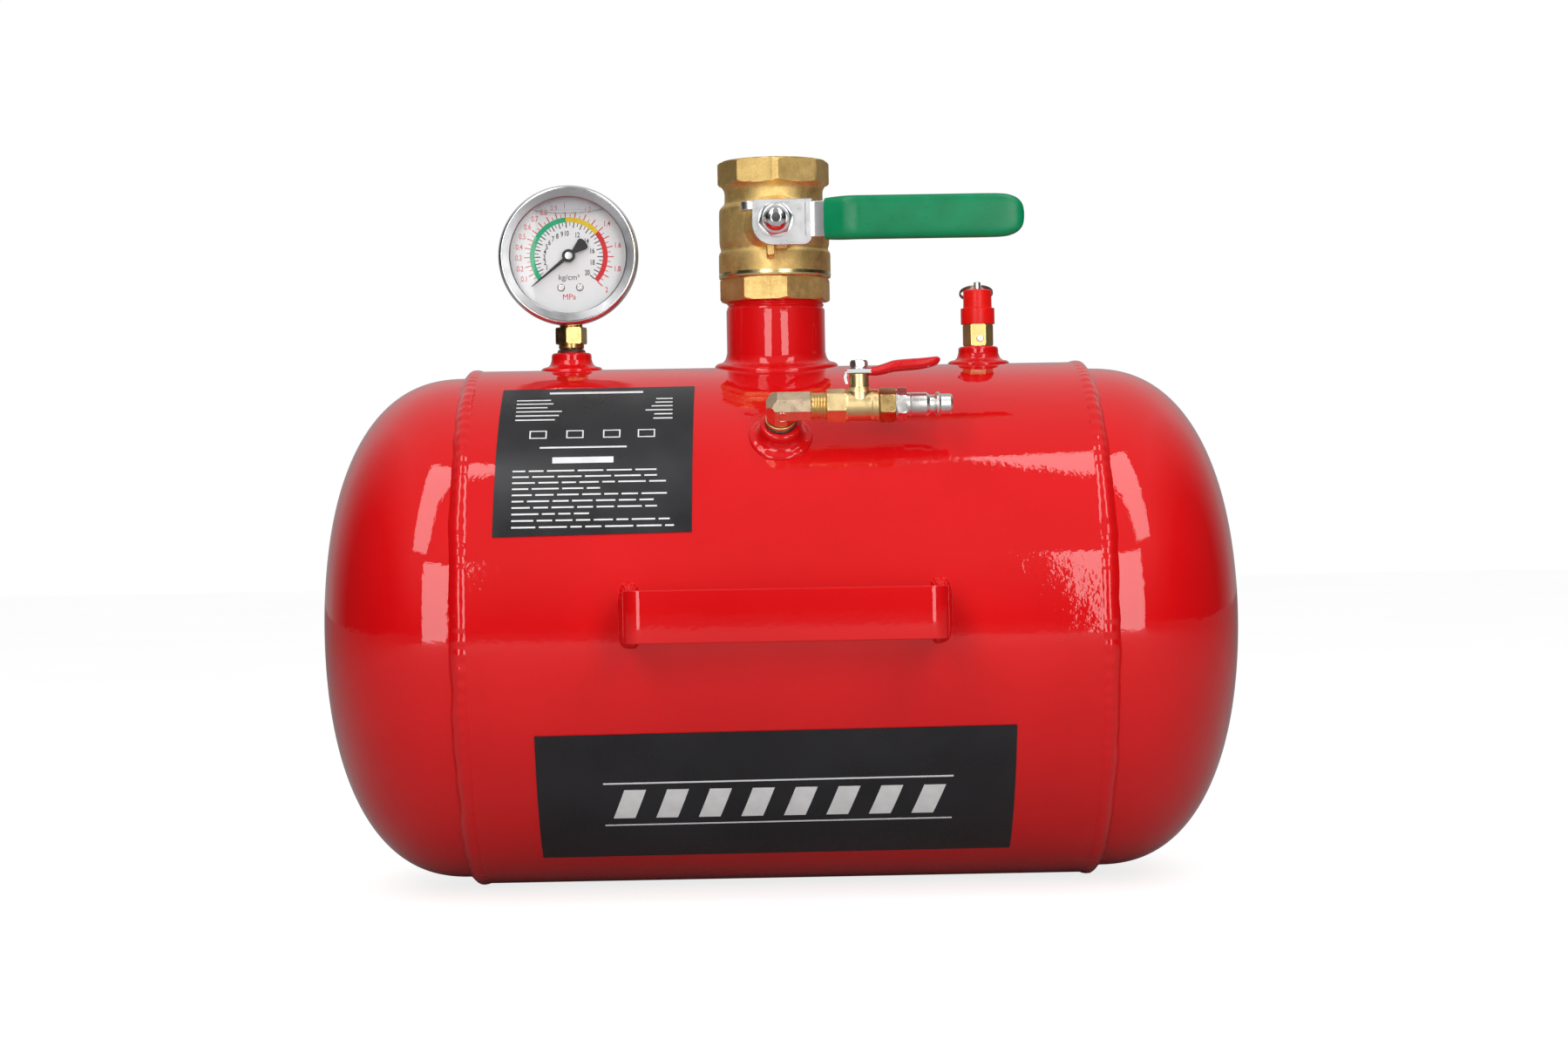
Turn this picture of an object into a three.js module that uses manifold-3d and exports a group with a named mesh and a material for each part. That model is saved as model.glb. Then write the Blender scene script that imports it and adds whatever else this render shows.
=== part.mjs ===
// A 20 litre horizontal air tank that seats tyre beads with one blast of air.
// A large brass ball valve on a neck lets the air out, a small ball valve with a plug coupler lets it in,
// and a pressure gauge and a pull-ring safety valve stand on bosses at either side of the neck.
// Units are millimetres, +Z is up, and the front of the tank, with its handle, faces -Y.
import * as THREE from "three";
import { mergeVertices } from "three/addons/utils/BufferGeometryUtils.js";
import Module from "manifold-3d";

const wasm = await Module();
wasm.setup();

// ---------------------------------------------------------------- driving dimensions
const GAP = 0.3; // clearance between pieces that touch, or that are welded or screwed together
const RUN = 0.15; // radial clearance of a turning or sliding pin

// The pressure vessel. Its axis lies along X, and every other height is measured from that axis.
const SHELL_R = 125;
const WALL = 3;
const SHELL_HALF = 146;
const HEAD_R = SHELL_R - WALL - GAP;
const HEAD_INNER_END = 134;
const HEAD_BEND = 152;
const TANK_HALF = 220.35;
const HEAD_POWER = 2.4;
const HEAD_STEPS = 5;
const BEAD_R = 126;
const BEAD_START = 142.6;
const TANK_SIDES = 36;
const WIDE_SIDES = 24; // facets of the round pieces over about 40 mm across
const SMALL_SIDES = 16;

// The handle's face and the back of the weld beads set the middle of the whole object in Y.
const HANDLE_FRONT = 159;
const AXIS_Y = (HANDLE_FRONT - BEAD_R) / 2;
const AXIS_Z = BEAD_R;

// Threaded bosses on the shell.
const BUNG_R = 9.8;
const BUNG_TOP = 133.5;
const BUNG_BOTTOM = 118;
const BUNG_THREAD_R = 6.3;
const BUNG_WELD_R = 15.4;
const MALE_R = 6;
const GAUGE_X = -100.5;
const SAFETY_X = 99.4;

// The outlet neck and the main ball valve.
const NECK_R = 24.15;
const NECK_BORE_R = 20.6;
const NECK_SHOULDER = 153.8;
const NECK_THREAD_R = 22.8;
const OCTAGON_R = 27.5;
const CAP_TURN = THREE.MathUtils.degToRad(11.3);
const SOCKET_TURN = THREE.MathUtils.degToRad(4);
const CAP_BOTTOM = 157;
const CAP_TOP = 168;
const COLLAR_BOTTOM = 169.6;
const COLLAR_R = 27.4;
const COLLAR_TOP = 181.8;
const BODY_R = 27;
const BODY_TOP = 204;
const UPPER_NECK_R = 24.1;
const SOCKET_BOTTOM = 213.7;
const VALVE_TOP = 225.7;
const SOCKET_R = 22.4;
const STEM_Z = 192.6;
const BALL_R = 21;
const BALL_BORE_R = 15;
const SEAT_POCKET_R = 20.3;
const SEAT_REACH = 17;
const BOSS_R = 11;
const BOSS_END = 38;
const STEM_R = 5;

// The main lever, a bent steel plate with a dipped grip. Depths are distances in front of the tank axis.
const LEVER_DEPTH = 48;
const LEVER_THICK = 3;
const LEVER_SQUARE = 8;
const GRIP_DEPTH = 56;
const GRIP_START = 24;
const GRIP_END = 117.6;
const GRIP_HEIGHT = 20.8;
const GRIP_THICK = 8;
const ARM_WIDTH = 17;
const ARM_END = 113.6;

// The gauge.
const GAUGE_Z = 180.3;
const CASE_R = 31.5;
const CASE_BACK = 10.5;
const BEZEL_R = 34;
const BEZEL_FRONT = -18;
const LENS_WINDOW_R = 27.8;
const ZERO_ANGLE = THREE.MathUtils.degToRad(219);
const PINION_R = 1.8;
const GEAR_RATIO = 8;
const SECTOR_SWING = THREE.MathUtils.degToRad(260 / GEAR_RATIO);

// The air inlet: an elbow, a small ball valve along X and a plug coupler.
const INLET_TILT = THREE.MathUtils.degToRad(45.1);
const INLET_RADIAL = 144;
const INLET_Y = -INLET_RADIAL * Math.sin(INLET_TILT);
const INLET_Z = INLET_RADIAL * Math.cos(INLET_TILT);
const ELBOW_R = 7.2;
const ELBOW_END = 13.9;
const INLET_STEM_X = 36.1;
const INLET_BALL_R = 5.4;
const INLET_BORE_R = 2.6;
const INLET_LEVER_Z = 15.5;

// The safety valve.
const SAFETY_HEX = 13;
const SAFETY_BODY_TOP = 144.2;
const POPPET_BOTTOM = 131.4;
const POPPET_TOP = 134.5;
const ROD_R = 1.75;
const ROD_TOP = 165.5;
const RING_Z = 163.1;
const RING_R = 7.95;
const RING_WIRE_R = 0.9;
const RING_TILT = THREE.MathUtils.degToRad(20);

// The carrying handle.
const HANDLE_HALF = 72;
const HANDLE_THICK = 4;
const HANDLE_WIDTH = 23.6;
const HANDLE_Z = 8.2;
const HANDLE_BEND_R = 8;

// ---------------------------------------------------------------- materials
const finish = (color, roughness, metalness) =>
  new THREE.MeshStandardMaterial({ color, roughness, metalness });
const redPaint = finish(0xc8161d, 0.25, 0.1);
const brass = finish(0xc7a252, 0.45, 0.9);
const zincPlate = finish(0xb9bab5, 0.35, 0.9);
const nickelPlate = finish(0xc9c8c2, 0.2, 1);
const chromedBall = finish(0xd4d6d8, 0.12, 1);
const whitePlastic = finish(0xf0efe8, 0.6, 0);
const greenVinyl = finish(0x0f8a45, 0.35, 0);
const redVinyl = finish(0xc4161b, 0.35, 0);
const polishedSteel = finish(0xd9dadb, 0.15, 1);
const clearLens = new THREE.MeshStandardMaterial({
  color: 0xf4f7f7,
  roughness: 0.05,
  transparent: true,
  opacity: 0.35,
});
const whiteDial = finish(0xf6f5ef, 0.5, 0);
const blackPaint = finish(0x111111, 0.5, 0);
const darkSteel = finish(0x4a4743, 0.35, 0.9);
const labelFilm = finish(0x141414, 0.35, 0);

// ---------------------------------------------------------------- geometry helpers

// Keeps only positions, welds shared corners and drops triangles that have collapsed to a line.
function closed(geometry) {
  const bare = geometry.clone();
  bare.deleteAttribute("normal");
  bare.deleteAttribute("uv");
  const welded = mergeVertices(bare, 1e-4);
  const corners = welded.index.array;
  const kept = [];
  for (let i = 0; i < corners.length; i += 3) {
    const [a, b, c] = corners.slice(i, i + 3);
    if (a !== b && b !== c && c !== a) kept.push(a, b, c);
  }
  return welded.setIndex(kept);
}

function solidOf(geometry) {
  const { attributes, index } = closed(geometry);
  const triVerts = new Uint32Array(index.array);
  const vertProperties = attributes.position.array;
  return new wasm.Manifold(new wasm.Mesh({ numProp: 3, vertProperties, triVerts }));
}

function geometryOf(solid) {
  const { vertProperties, triVerts } = solid.getMesh();
  const geometry = new THREE.BufferGeometry();
  geometry.setAttribute("position", new THREE.BufferAttribute(vertProperties, 3));
  geometry.setIndex(new THREE.BufferAttribute(triVerts, 1));
  return geometry;
}

const join = (...pieces) => geometryOf(pieces.map(solidOf).reduce((a, b) => a.add(b)));
const cut = (piece, ...tools) =>
  geometryOf(tools.map(solidOf).reduce((a, b) => a.subtract(b), solidOf(piece)));

// Turns a profile of [radius, height] pairs about Z, bottom to top up the outside, with a flat towards -Y.
function turned(profile, sides = SMALL_SIDES) {
  const points = profile.map(([radius, height]) => new THREE.Vector2(radius, height));
  return closed(new THREE.LatheGeometry(points, sides))
    .rotateX(Math.PI / 2)
    .rotateZ(Math.PI / sides);
}

// Turns a closed ring profile, given once round without its first point repeated.
const ring = (profile, sides) => turned([...profile, profile[0]], sides);

// A plain ring or tube between two radii and two heights.
function tube(innerR, outerR, bottom, top, sides) {
  return ring([[innerR, bottom], [outerR, bottom], [outerR, top], [innerR, top]], sides);
}

// A cylinder or prism along Z, with a flat towards -Y.
function rod(radius, bottom, top, sides = SMALL_SIDES) {
  return turned([[0, bottom], [radius, bottom], [radius, top], [0, top]], sides);
}

const cornerRadius = (acrossFlats, sides) => acrossFlats / 2 / Math.cos(Math.PI / sides);
const hexagon = (acrossFlats, bottom, top) => rod(cornerRadius(acrossFlats, 6), bottom, top, 6);

// An octagon with one corner to the front, turned on by the angle at which its thread pulled up tight.
const octagon = (bottom, top, turn) => rod(OCTAGON_R, bottom, top, 8).rotateZ(Math.PI / 8 + turn);

const alongX = (geometry) => geometry.rotateY(Math.PI / 2);
const towardsFront = (geometry) => geometry.rotateX(Math.PI / 2);

function block(low, high) {
  const size = high.map((value, i) => value - low[i]);
  const middle = high.map((value, i) => (value + low[i]) / 2);
  return new THREE.BoxGeometry(...size).translate(...middle);
}

// Extrudes an outline of [x, y] points along +Z, centred on Z = 0.
function prism(outline, length, holes = []) {
  const shape = new THREE.Shape(outline.map(([x, y]) => new THREE.Vector2(x, y)));
  shape.holes = holes.map((hole) => new THREE.Path(hole.map(([x, y]) => new THREE.Vector2(x, y))));
  return new THREE.ExtrudeGeometry(shape, { depth: length, bevelEnabled: false }).translate(0, 0, -length / 2);
}

// The outline of a strip of even thickness along a line of [x, y] points, with mitred corners.
function ribbon(line, thickness) {
  const points = line.map(([x, y]) => new THREE.Vector2(x, y));
  const directions = points.slice(1).map((point, i) => point.clone().sub(points[i]).normalize());
  const sides = points.map((point, i) => {
    const before = directions[Math.max(i - 1, 0)];
    const after = directions[Math.min(i, directions.length - 1)];
    const middle = before.clone().add(after).normalize();
    const reach = thickness / 2 / middle.dot(after);
    return [new THREE.Vector2(middle.y, -middle.x).multiplyScalar(reach), point];
  });
  const right = sides.map(([offset, point]) => [point.x + offset.x, point.y + offset.y]);
  const left = sides.map(([offset, point]) => [point.x - offset.x, point.y - offset.y]);
  return [...right, ...left.reverse()];
}

function arc(centreX, centreY, radius, fromDegrees, toDegrees, steps) {
  return Array.from({ length: steps + 1 }, (_, i) => {
    const angle = THREE.MathUtils.degToRad(fromDegrees + ((toDegrees - fromDegrees) * i) / steps);
    return [centreX + radius * Math.cos(angle), centreY + radius * Math.sin(angle)];
  });
}

// A round wire along a three.js curve.
function wire(path, radius, sides, steps) {
  const corners = arc(0, 0, radius, 0, 360, sides).slice(1);
  const circle = new THREE.Shape(corners.map(([x, y]) => new THREE.Vector2(x, y)));
  return new THREE.ExtrudeGeometry(circle, { steps, extrudePath: path, bevelEnabled: false });
}

function part(name, geometry, material, position = [0, 0, 0], tiltX = 0) {
  const mesh = new THREE.Mesh(closed(geometry), material);
  mesh.geometry.computeVertexNormals();
  mesh.name = name;
  mesh.position.set(...position);
  mesh.rotation.x = tiltX;
  return mesh;
}

function group(position, ...meshes) {
  const made = new THREE.Group();
  made.position.set(...position);
  made.add(...meshes);
  return made;
}

// ---------------------------------------------------------------- the pressure vessel

// Radii on the vessel are to its flats, so that its beads lie on a flat and its box has the true size.
const toCorner = (radius) => cornerRadius(2 * radius, TANK_SIDES);
const vesselRing = (profile) => alongX(ring(profile.map(([r, x]) => [toCorner(r), x]), TANK_SIDES));
const vesselCore = (radius) => alongX(rod(toCorner(radius), -TANK_HALF, TANK_HALF, TANK_SIDES));
const bungHole = () => rod(BUNG_R + GAP, 110, 135);

function tankShell() {
  const drum = vesselRing([
    [SHELL_R - WALL, -SHELL_HALF],
    [SHELL_R, -SHELL_HALF],
    [SHELL_R, SHELL_HALF],
    [SHELL_R - WALL, SHELL_HALF],
  ]);
  const holes = [
    rod(NECK_R + GAP, 110, 135, WIDE_SIDES),
    bungHole().translate(GAUGE_X, 0, 0),
    bungHole().translate(SAFETY_X, 0, 0),
    bungHole().rotateX(INLET_TILT),
  ];
  return part("tank_shell", cut(drum, ...holes), redPaint);
}

// A dished end: a straight flange inside the shell, then a knuckle that flattens towards the middle.
function domeCurve(radius, depth, steps) {
  return Array.from({ length: steps + 1 }, (_, i) => {
    const angle = ((Math.PI / 2) * i) / steps;
    const across = i === steps ? 0 : Math.cos(angle) ** (2 / HEAD_POWER);
    return [radius * across, HEAD_BEND + depth * Math.sin(angle) ** (2 / HEAD_POWER)];
  });
}

function head(name, turn) {
  const outside = domeCurve(toCorner(HEAD_R), TANK_HALF - HEAD_BEND, HEAD_STEPS);
  const inside = domeCurve(toCorner(HEAD_R - WALL), TANK_HALF - HEAD_BEND - WALL, HEAD_STEPS).reverse();
  const profile = [
    ...inside,
    [toCorner(HEAD_R - WALL), HEAD_INNER_END],
    [toCorner(HEAD_R), HEAD_INNER_END],
    ...outside,
  ];
  return part(name, alongX(turned(profile, TANK_SIDES)).rotateZ(turn), redPaint);
}

function girthWeld(name, turn) {
  const bead = vesselRing([
    [SHELL_R + GAP, BEAD_START],
    [BEAD_R, BEAD_START + 1.4],
    [BEAD_R, BEAD_START + 6],
    [HEAD_R + 0.9, HEAD_BEND],
    [HEAD_R + GAP, HEAD_BEND],
    [HEAD_R + GAP, SHELL_HALF + GAP],
    [SHELL_R + GAP, SHELL_HALF + GAP],
  ]);
  return part(name, bead.rotateZ(turn), redPaint);
}

// A fillet of weld between the shell and a round boss that stands on it, upright or tilted forward.
function bossWeld(innerR, outerR, top, { tilt = 0, sides = SMALL_SIDES } = {}) {
  const fillet = ring([
    [innerR + GAP, BUNG_BOTTOM],
    [outerR, BUNG_BOTTOM],
    [outerR, SHELL_R + 0.8],
    [innerR + 1.1, top],
    [innerR + GAP, top],
  ], sides);
  return cut(fillet.rotateX(tilt), vesselCore(SHELL_R + GAP));
}

function bung(name, x, tilt = 0) {
  return part(name, tube(BUNG_THREAD_R, BUNG_R, BUNG_BOTTOM, BUNG_TOP), redPaint, [x, 0, 0], tilt);
}

function vessel() {
  return [
    tankShell(),
    head("right_head", 0),
    head("left_head", Math.PI),
    girthWeld("right_girth_weld", 0),
    girthWeld("left_girth_weld", Math.PI),
    bung("gauge_bung", GAUGE_X),
    part("gauge_bung_weld", bossWeld(BUNG_R, BUNG_WELD_R, 130), redPaint, [GAUGE_X, 0, 0]),
    bung("safety_bung", SAFETY_X),
    part("safety_bung_weld", bossWeld(BUNG_R, BUNG_WELD_R, 130), redPaint, [SAFETY_X, 0, 0]),
    bung("inlet_bung", 0, INLET_TILT),
    part("inlet_bung_weld", bossWeld(BUNG_R, BUNG_WELD_R, 130, { tilt: INLET_TILT }), redPaint),
    part("neck_weld", bossWeld(NECK_R, 29.5, 131, { sides: WIDE_SIDES }), redPaint),
  ];
}

// ---------------------------------------------------------------- the carrying handle

function handleLine() {
  const foot = SHELL_R - 4;
  const side = HANDLE_HALF - HANDLE_THICK / 2;
  const front = HANDLE_FRONT - HANDLE_THICK / 2;
  const bend = HANDLE_BEND_R - HANDLE_THICK / 2;
  return [
    [-side, -foot],
    ...arc(-side + bend, -front + bend, bend, 180, 270, 4),
    ...arc(side - bend, -front + bend, bend, 270, 360, 4),
    [side, -foot],
  ];
}

function handleBar(clearance) {
  const outline = ribbon(handleLine(), HANDLE_THICK + 2 * clearance);
  return prism(outline, HANDLE_WIDTH + 2 * clearance).translate(0, 0, HANDLE_Z);
}

// A lump of weld round the foot of one leg, tapering away from the shell.
function handleWeld(name, side) {
  const lump = new THREE.CylinderGeometry(0.55, 1, 1, SMALL_SIDES).rotateX(Math.PI);
  lump.scale(10, 13, HANDLE_WIDTH / 2 + 3.8);
  lump.translate(side * (HANDLE_HALF - HANDLE_THICK / 2), -SHELL_R - 2.5, HANDLE_Z);
  return part(name, cut(lump, vesselCore(SHELL_R + GAP), handleBar(GAP)), redPaint);
}

function handle() {
  return [
    part("carry_handle", cut(handleBar(0), vesselCore(SHELL_R + GAP)), redPaint),
    handleWeld("left_handle_weld", -1),
    handleWeld("right_handle_weld", 1),
  ];
}

// ---------------------------------------------------------------- labels

function label(name, fromX, toX, lowDegrees, highDegrees) {
  const innerR = toCorner(SHELL_R) + GAP;
  const steps = Math.round((highDegrees - lowDegrees) / 5);
  const band = [
    ...arc(0, 0, innerR + 0.4, lowDegrees, highDegrees, steps),
    ...arc(0, 0, innerR, highDegrees, lowDegrees, steps),
  ];
  // The band is drawn with 0 degrees to the front and 90 degrees up, then stood along the tank.
  const film = prism(band, toX - fromX).rotateY(-Math.PI / 2).rotateX(Math.PI / 2);
  return part(name, film, labelFilm, [(fromX + toX) / 2, 0, 0]);
}

// ---------------------------------------------------------------- the outlet neck and main valve

function outletNeck() {
  const pipe = ring([
    [NECK_BORE_R, BUNG_BOTTOM],
    [NECK_R, BUNG_BOTTOM],
    [NECK_R, NECK_SHOULDER],
    [NECK_THREAD_R, NECK_SHOULDER + 1],
    [NECK_THREAD_R, CAP_TOP],
    [NECK_BORE_R, CAP_TOP],
  ], WIDE_SIDES);
  return part("outlet_neck", pipe, redPaint);
}

// The cap screws into the body from below, holds the lower seat and takes the neck's thread.
function valveEndCap() {
  const socketEnd = CAP_TOP + 1.2;
  const screwed = rod(24.5, CAP_TOP - 1, COLLAR_TOP, WIDE_SIDES);
  const outside = join(octagon(CAP_BOTTOM, CAP_TOP, CAP_TURN), screwed);
  const inside = turned([
    [0, CAP_BOTTOM - 1],
    [NECK_THREAD_R + GAP, CAP_BOTTOM - 1],
    [NECK_THREAD_R + GAP, socketEnd],
    [BALL_BORE_R + 0.5, socketEnd],
    [BALL_BORE_R + 0.5, STEM_Z - SEAT_REACH - GAP],
    [SEAT_POCKET_R, STEM_Z - SEAT_REACH - GAP],
    [SEAT_POCKET_R, COLLAR_TOP + 1],
    [0, COLLAR_TOP + 1],
  ], WIDE_SIDES);
  return part("valve_end_cap", cut(outside, inside), brass);
}

function valveBody() {
  const boss = towardsFront(rod(BOSS_R, 20, BOSS_END)).translate(0, 0, STEM_Z);
  const stopLug = block([-4.3, -46.2, 175.8], [-0.6, -25, 182]);
  const outside = join(
    rod(COLLAR_R, COLLAR_BOTTOM, COLLAR_TOP, WIDE_SIDES),
    rod(BODY_R, COLLAR_TOP - 1, BODY_TOP, WIDE_SIDES),
    rod(UPPER_NECK_R, BODY_TOP - 1, SOCKET_BOTTOM + 1, WIDE_SIDES),
    octagon(SOCKET_BOTTOM, VALVE_TOP, SOCKET_TURN),
    boss,
    stopLug,
  );
  const chamber = turned([
    [0, COLLAR_BOTTOM - 1],
    [24.8, COLLAR_BOTTOM - 1],
    [24.8, COLLAR_TOP + GAP],
    [BALL_R + 1, COLLAR_TOP + GAP],
    [BALL_R + 1, STEM_Z + 6],
    [SEAT_POCKET_R, STEM_Z + 7],
    [SEAT_POCKET_R, STEM_Z + SEAT_REACH + GAP],
    [BALL_BORE_R + 0.5, STEM_Z + SEAT_REACH + GAP],
    [BALL_BORE_R + 0.5, SOCKET_BOTTOM - 0.7],
    [SOCKET_R, SOCKET_BOTTOM - 0.7],
    [SOCKET_R, VALVE_TOP + 1],
    [0, VALVE_TOP + 1],
  ], WIDE_SIDES);
  const stemBore = turned([
    [0, 15],
    [6.8, 15],
    [6.8, 24],
    [STEM_R + RUN, 24],
    [STEM_R + RUN, 29],
    [7.5, 29],
    [7.5, BOSS_END + 1],
    [0, BOSS_END + 1],
  ]);
  return part("valve_body", cut(outside, chamber, towardsFront(stemBore).translate(0, 0, STEM_Z)), brass);
}

function valveSeat(name, side) {
  // The face is a cone that touches the ball at the middle of the ring.
  const face = [[16, SEAT_REACH], [16, 14.7], [20, 8.05], [20, SEAT_REACH]];
  const profile = side > 0 ? face : face.map(([r, z]) => [r, -z]).reverse();
  return part(name, ring(profile, WIDE_SIDES), whitePlastic, [0, 0, STEM_Z]);
}

// Closed at rest, with its bore across the flow and the stem's slot along it.
function valveBall() {
  const ball = new THREE.SphereGeometry(BALL_R, 16, 10);
  const bore = alongX(rod(BALL_BORE_R, -BALL_R - 1, BALL_R + 1));
  const slot = block([-3.3, -BALL_R - 1, -6], [3.3, -16, 6]);
  return part("valve_ball", cut(ball, bore, slot), chromedBall);
}

function valveStem() {
  const tongue = block([-3, -21.6, -5], [3, -16.4, 5]);
  const shoulder = towardsFront(rod(6.5, 21.3, 23.7));
  const shaft = towardsFront(rod(STEM_R, 23.5, 46.2));
  const half = LEVER_SQUARE / 2;
  const square = block([-half, -49.4, -half], [half, -46, half]);
  const thread = towardsFront(rod(3.8, 49, 56.5));
  return part("valve_stem", join(tongue, shoulder, shaft, square, thread), zincPlate);
}

function leverPlate() {
  const notch = LEVER_SQUARE / 2 + GAP;
  const outline = [
    [-11.4, 9.9],
    [-11.4, -2],
    ...arc(-1.4, -2, 10, 180, 270, 4),
    [15, -12],
    [18, -9],
    [18, 9.9],
  ];
  const hole = [[-notch, -notch], [-notch, notch], [notch, notch], [notch, -notch]];
  return towardsFront(prism(outline, LEVER_THICK, [hole])).translate(0, -LEVER_DEPTH, 0);
}

// The arm runs along X and bends forward on its way to the grip.
function leverArm(clearance) {
  const line = [
    [12, -LEVER_DEPTH],
    [18, -LEVER_DEPTH],
    [36, -GRIP_DEPTH],
    [ARM_END + clearance, -GRIP_DEPTH],
  ];
  return prism(ribbon(line, LEVER_THICK + 2 * clearance), ARM_WIDTH + 2 * clearance);
}

// Two tabs bend back from the plate and meet the body's stop lug, one shut and one a quarter turn open.
function mainLever() {
  const front = -LEVER_DEPTH - LEVER_THICK / 2;
  const shutStop = block([-0.2, front, -13], [5.6, -42, -9.8]);
  const openStop = block([-16.4, front, 4.8], [-13.6, -42, 9]);
  const openStopWeb = block([-14, front, 4.8], [-10, front + LEVER_THICK, 9]);
  return part("main_lever", join(leverPlate(), leverArm(0), shutStop, openStop, openStopWeb), zincPlate);
}

function leverGrip() {
  const line = [[GRIP_START, -50.7], [36, -GRIP_DEPTH], [GRIP_END, -GRIP_DEPTH]];
  const sleeve = prism(ribbon(line, GRIP_THICK), GRIP_HEIGHT);
  return part("lever_grip", cut(sleeve, leverArm(GAP)), greenVinyl);
}

function acornNut(name, depth, acrossFlats, holeR, material) {
  const hex = towardsFront(hexagon(acrossFlats, depth, depth + 5.4));
  const dome = towardsFront(turned([
    [0, depth + 5],
    [6.1, depth + 5],
    [6.1, depth + 7.2],
    [4.6, depth + 10.4],
    [0, depth + 11.6],
  ]));
  const hole = towardsFront(rod(holeR, depth - 1, depth + 8));
  return part(name, cut(join(hex, dome), hole), material);
}

function glandNut() {
  const body = join(rod(7.2, 34.3, 39), hexagon(15.5, BOSS_END + GAP, 44));
  return part("gland_nut", towardsFront(cut(body, rod(STEM_R + RUN, 30, 46))), brass);
}

function outletValve() {
  const valve = [valveEndCap(), valveBody(), valveSeat("upper_seat", 1), valveSeat("lower_seat", -1)];
  const onStem = group(
    [0, 0, STEM_Z],
    valveBall(),
    valveStem(),
    part("stem_packing", towardsFront(tube(STEM_R + RUN, 7.2, 29.3, 34)), whitePlastic),
    glandNut(),
    mainLever(),
    leverGrip(),
    acornNut("lever_nut", LEVER_DEPTH + LEVER_THICK / 2 + GAP, 14.4, 4.1, zincPlate),
  );
  return [outletNeck(), ...valve, onStem];
}

// ---------------------------------------------------------------- the pressure gauge
// Heights are from the middle of the dial, which faces -Y.

const SECTOR_PIVOT_Z = -(PINION_R + PINION_R * GEAR_RATIO + 0.2);

function gaugeSocket() {
  const piece = join(
    rod(MALE_R, 121 - GAUGE_Z, 138 - GAUGE_Z),
    hexagon(14, 137.5 - GAUGE_Z, 146 - GAUGE_Z),
    rod(5.5, 145 - GAUGE_Z, -26),
    block([-5, -5, -28], [5, 5, -19.5]),
  );
  const passage = rod(1.5, 120 - GAUGE_Z, -21, 12);
  return part("gauge_socket", cut(piece, passage), brass);
}

function gaugeCase() {
  const rim = -BEZEL_FRONT - 7;
  const cup = towardsFront(turned([
    [0, -CASE_BACK],
    [CASE_R, -CASE_BACK],
    [CASE_R, rim],
    [CASE_R - 1, rim],
    [CASE_R - 1, 1 - CASE_BACK],
    [0, 1 - CASE_BACK],
  ], WIDE_SIDES));
  const socketHole = rod(6, -40, -20);
  const plugHole = rod(3.2, 20, 40);
  return part("gauge_case", cut(cup, socketHole, plugHole), polishedSteel);
}

function gaugeBezel() {
  const rim = ring([
    [CASE_R + GAP, 8],
    [BEZEL_R - 0.8, 8],
    [BEZEL_R, 9.5],
    [BEZEL_R, 15.5],
    [BEZEL_R - 2, 18],
    [LENS_WINDOW_R + 1, 18],
    [LENS_WINDOW_R, 16.5],
    [CASE_R + GAP, 16.5],
  ], WIDE_SIDES);
  return part("gauge_bezel", towardsFront(rim), polishedSteel);
}

// Round things on the gauge's own axis, between two depths in front of its middle.
const dialRod = (radius, back, front, sides) => towardsFront(rod(radius, back, front, sides));

function gaugeDial() {
  return part("gauge_dial", towardsFront(tube(1.4, 29, 9, 9.6, WIDE_SIDES)), whiteDial);
}

// A tapering blade with a fan-shaped tail, pointing along +X before it is turned to zero.
function gaugePointer() {
  const upper = [[-10, -3.7], [-3, -0.9], [3, -0.9], [23.5, -0.25]];
  const lower = upper.map(([x, y]) => [x, -y]).reverse();
  const flat = prism([...upper, ...lower], 0.5).translate(0, 0, 12.2);
  const hub = cut(join(flat, rod(2.9, 11.95, 13)), rod(0.9, 11, 12.6, 12));
  return part("gauge_pointer", towardsFront(hub.rotateZ(ZERO_ANGLE)), blackPaint);
}

function pointerArbor() {
  const shaft = join(rod(0.7, -3, 12.3, 12), rod(PINION_R, 1.5, 4.5));
  return part("pointer_arbor", towardsFront(shaft), brass);
}

// The sector is drawn at its middle position and turned back by half its swing to stand at zero.
function sectorGear() {
  const radius = PINION_R * GEAR_RATIO;
  const fan = [[-1.4, -1], [1.4, -1], ...arc(0, 0, radius, 68, 112, 8)];
  const gear = join(prism(fan, 1.4).translate(0, 0, 3), rod(0.8, -3, 8, 12));
  gear.rotateZ(-SECTOR_SWING / 2);
  return part("sector_gear", towardsFront(gear), brass, [0, 0, SECTOR_PIVOT_Z]);
}

// Two plates on posts carry the pinion and the sector, and stand astride the socket's block.
function movementFrame() {
  const outline = [[-8, -19], [8, -19], [8, 4], [-8, 4]];
  const backPlate = prism(outline, 1).translate(0, 0, -2);
  const frontPlate = prism(outline, 1).translate(0, 0, 6.8);
  const posts = [-6.9, 6.9].map((x) => rod(1, -2.3, 7, 10).translate(x, 2.6, 0));
  const feet = [-6.8, 6.8].map((x) => block([x - 1.2, -20.5, -2.5], [x + 1.2, -16.5, 7.3]));
  const arborHole = rod(0.7 + RUN, -4, 9, 12);
  const sectorHole = rod(0.8 + RUN, -4, 9.5, 12).translate(0, SECTOR_PIVOT_Z, 0);
  const frame = cut(join(backPlate, frontPlate, ...posts, ...feet), arborHole, sectorHole);
  return part("gauge_movement", towardsFront(frame), brass);
}

function bourdonTube() {
  const bend = prism(ribbon(arc(0, 0, 24, -74, 190, 16), 2.6), 7);
  return part("bourdon_tube", towardsFront(bend), brass);
}

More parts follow.
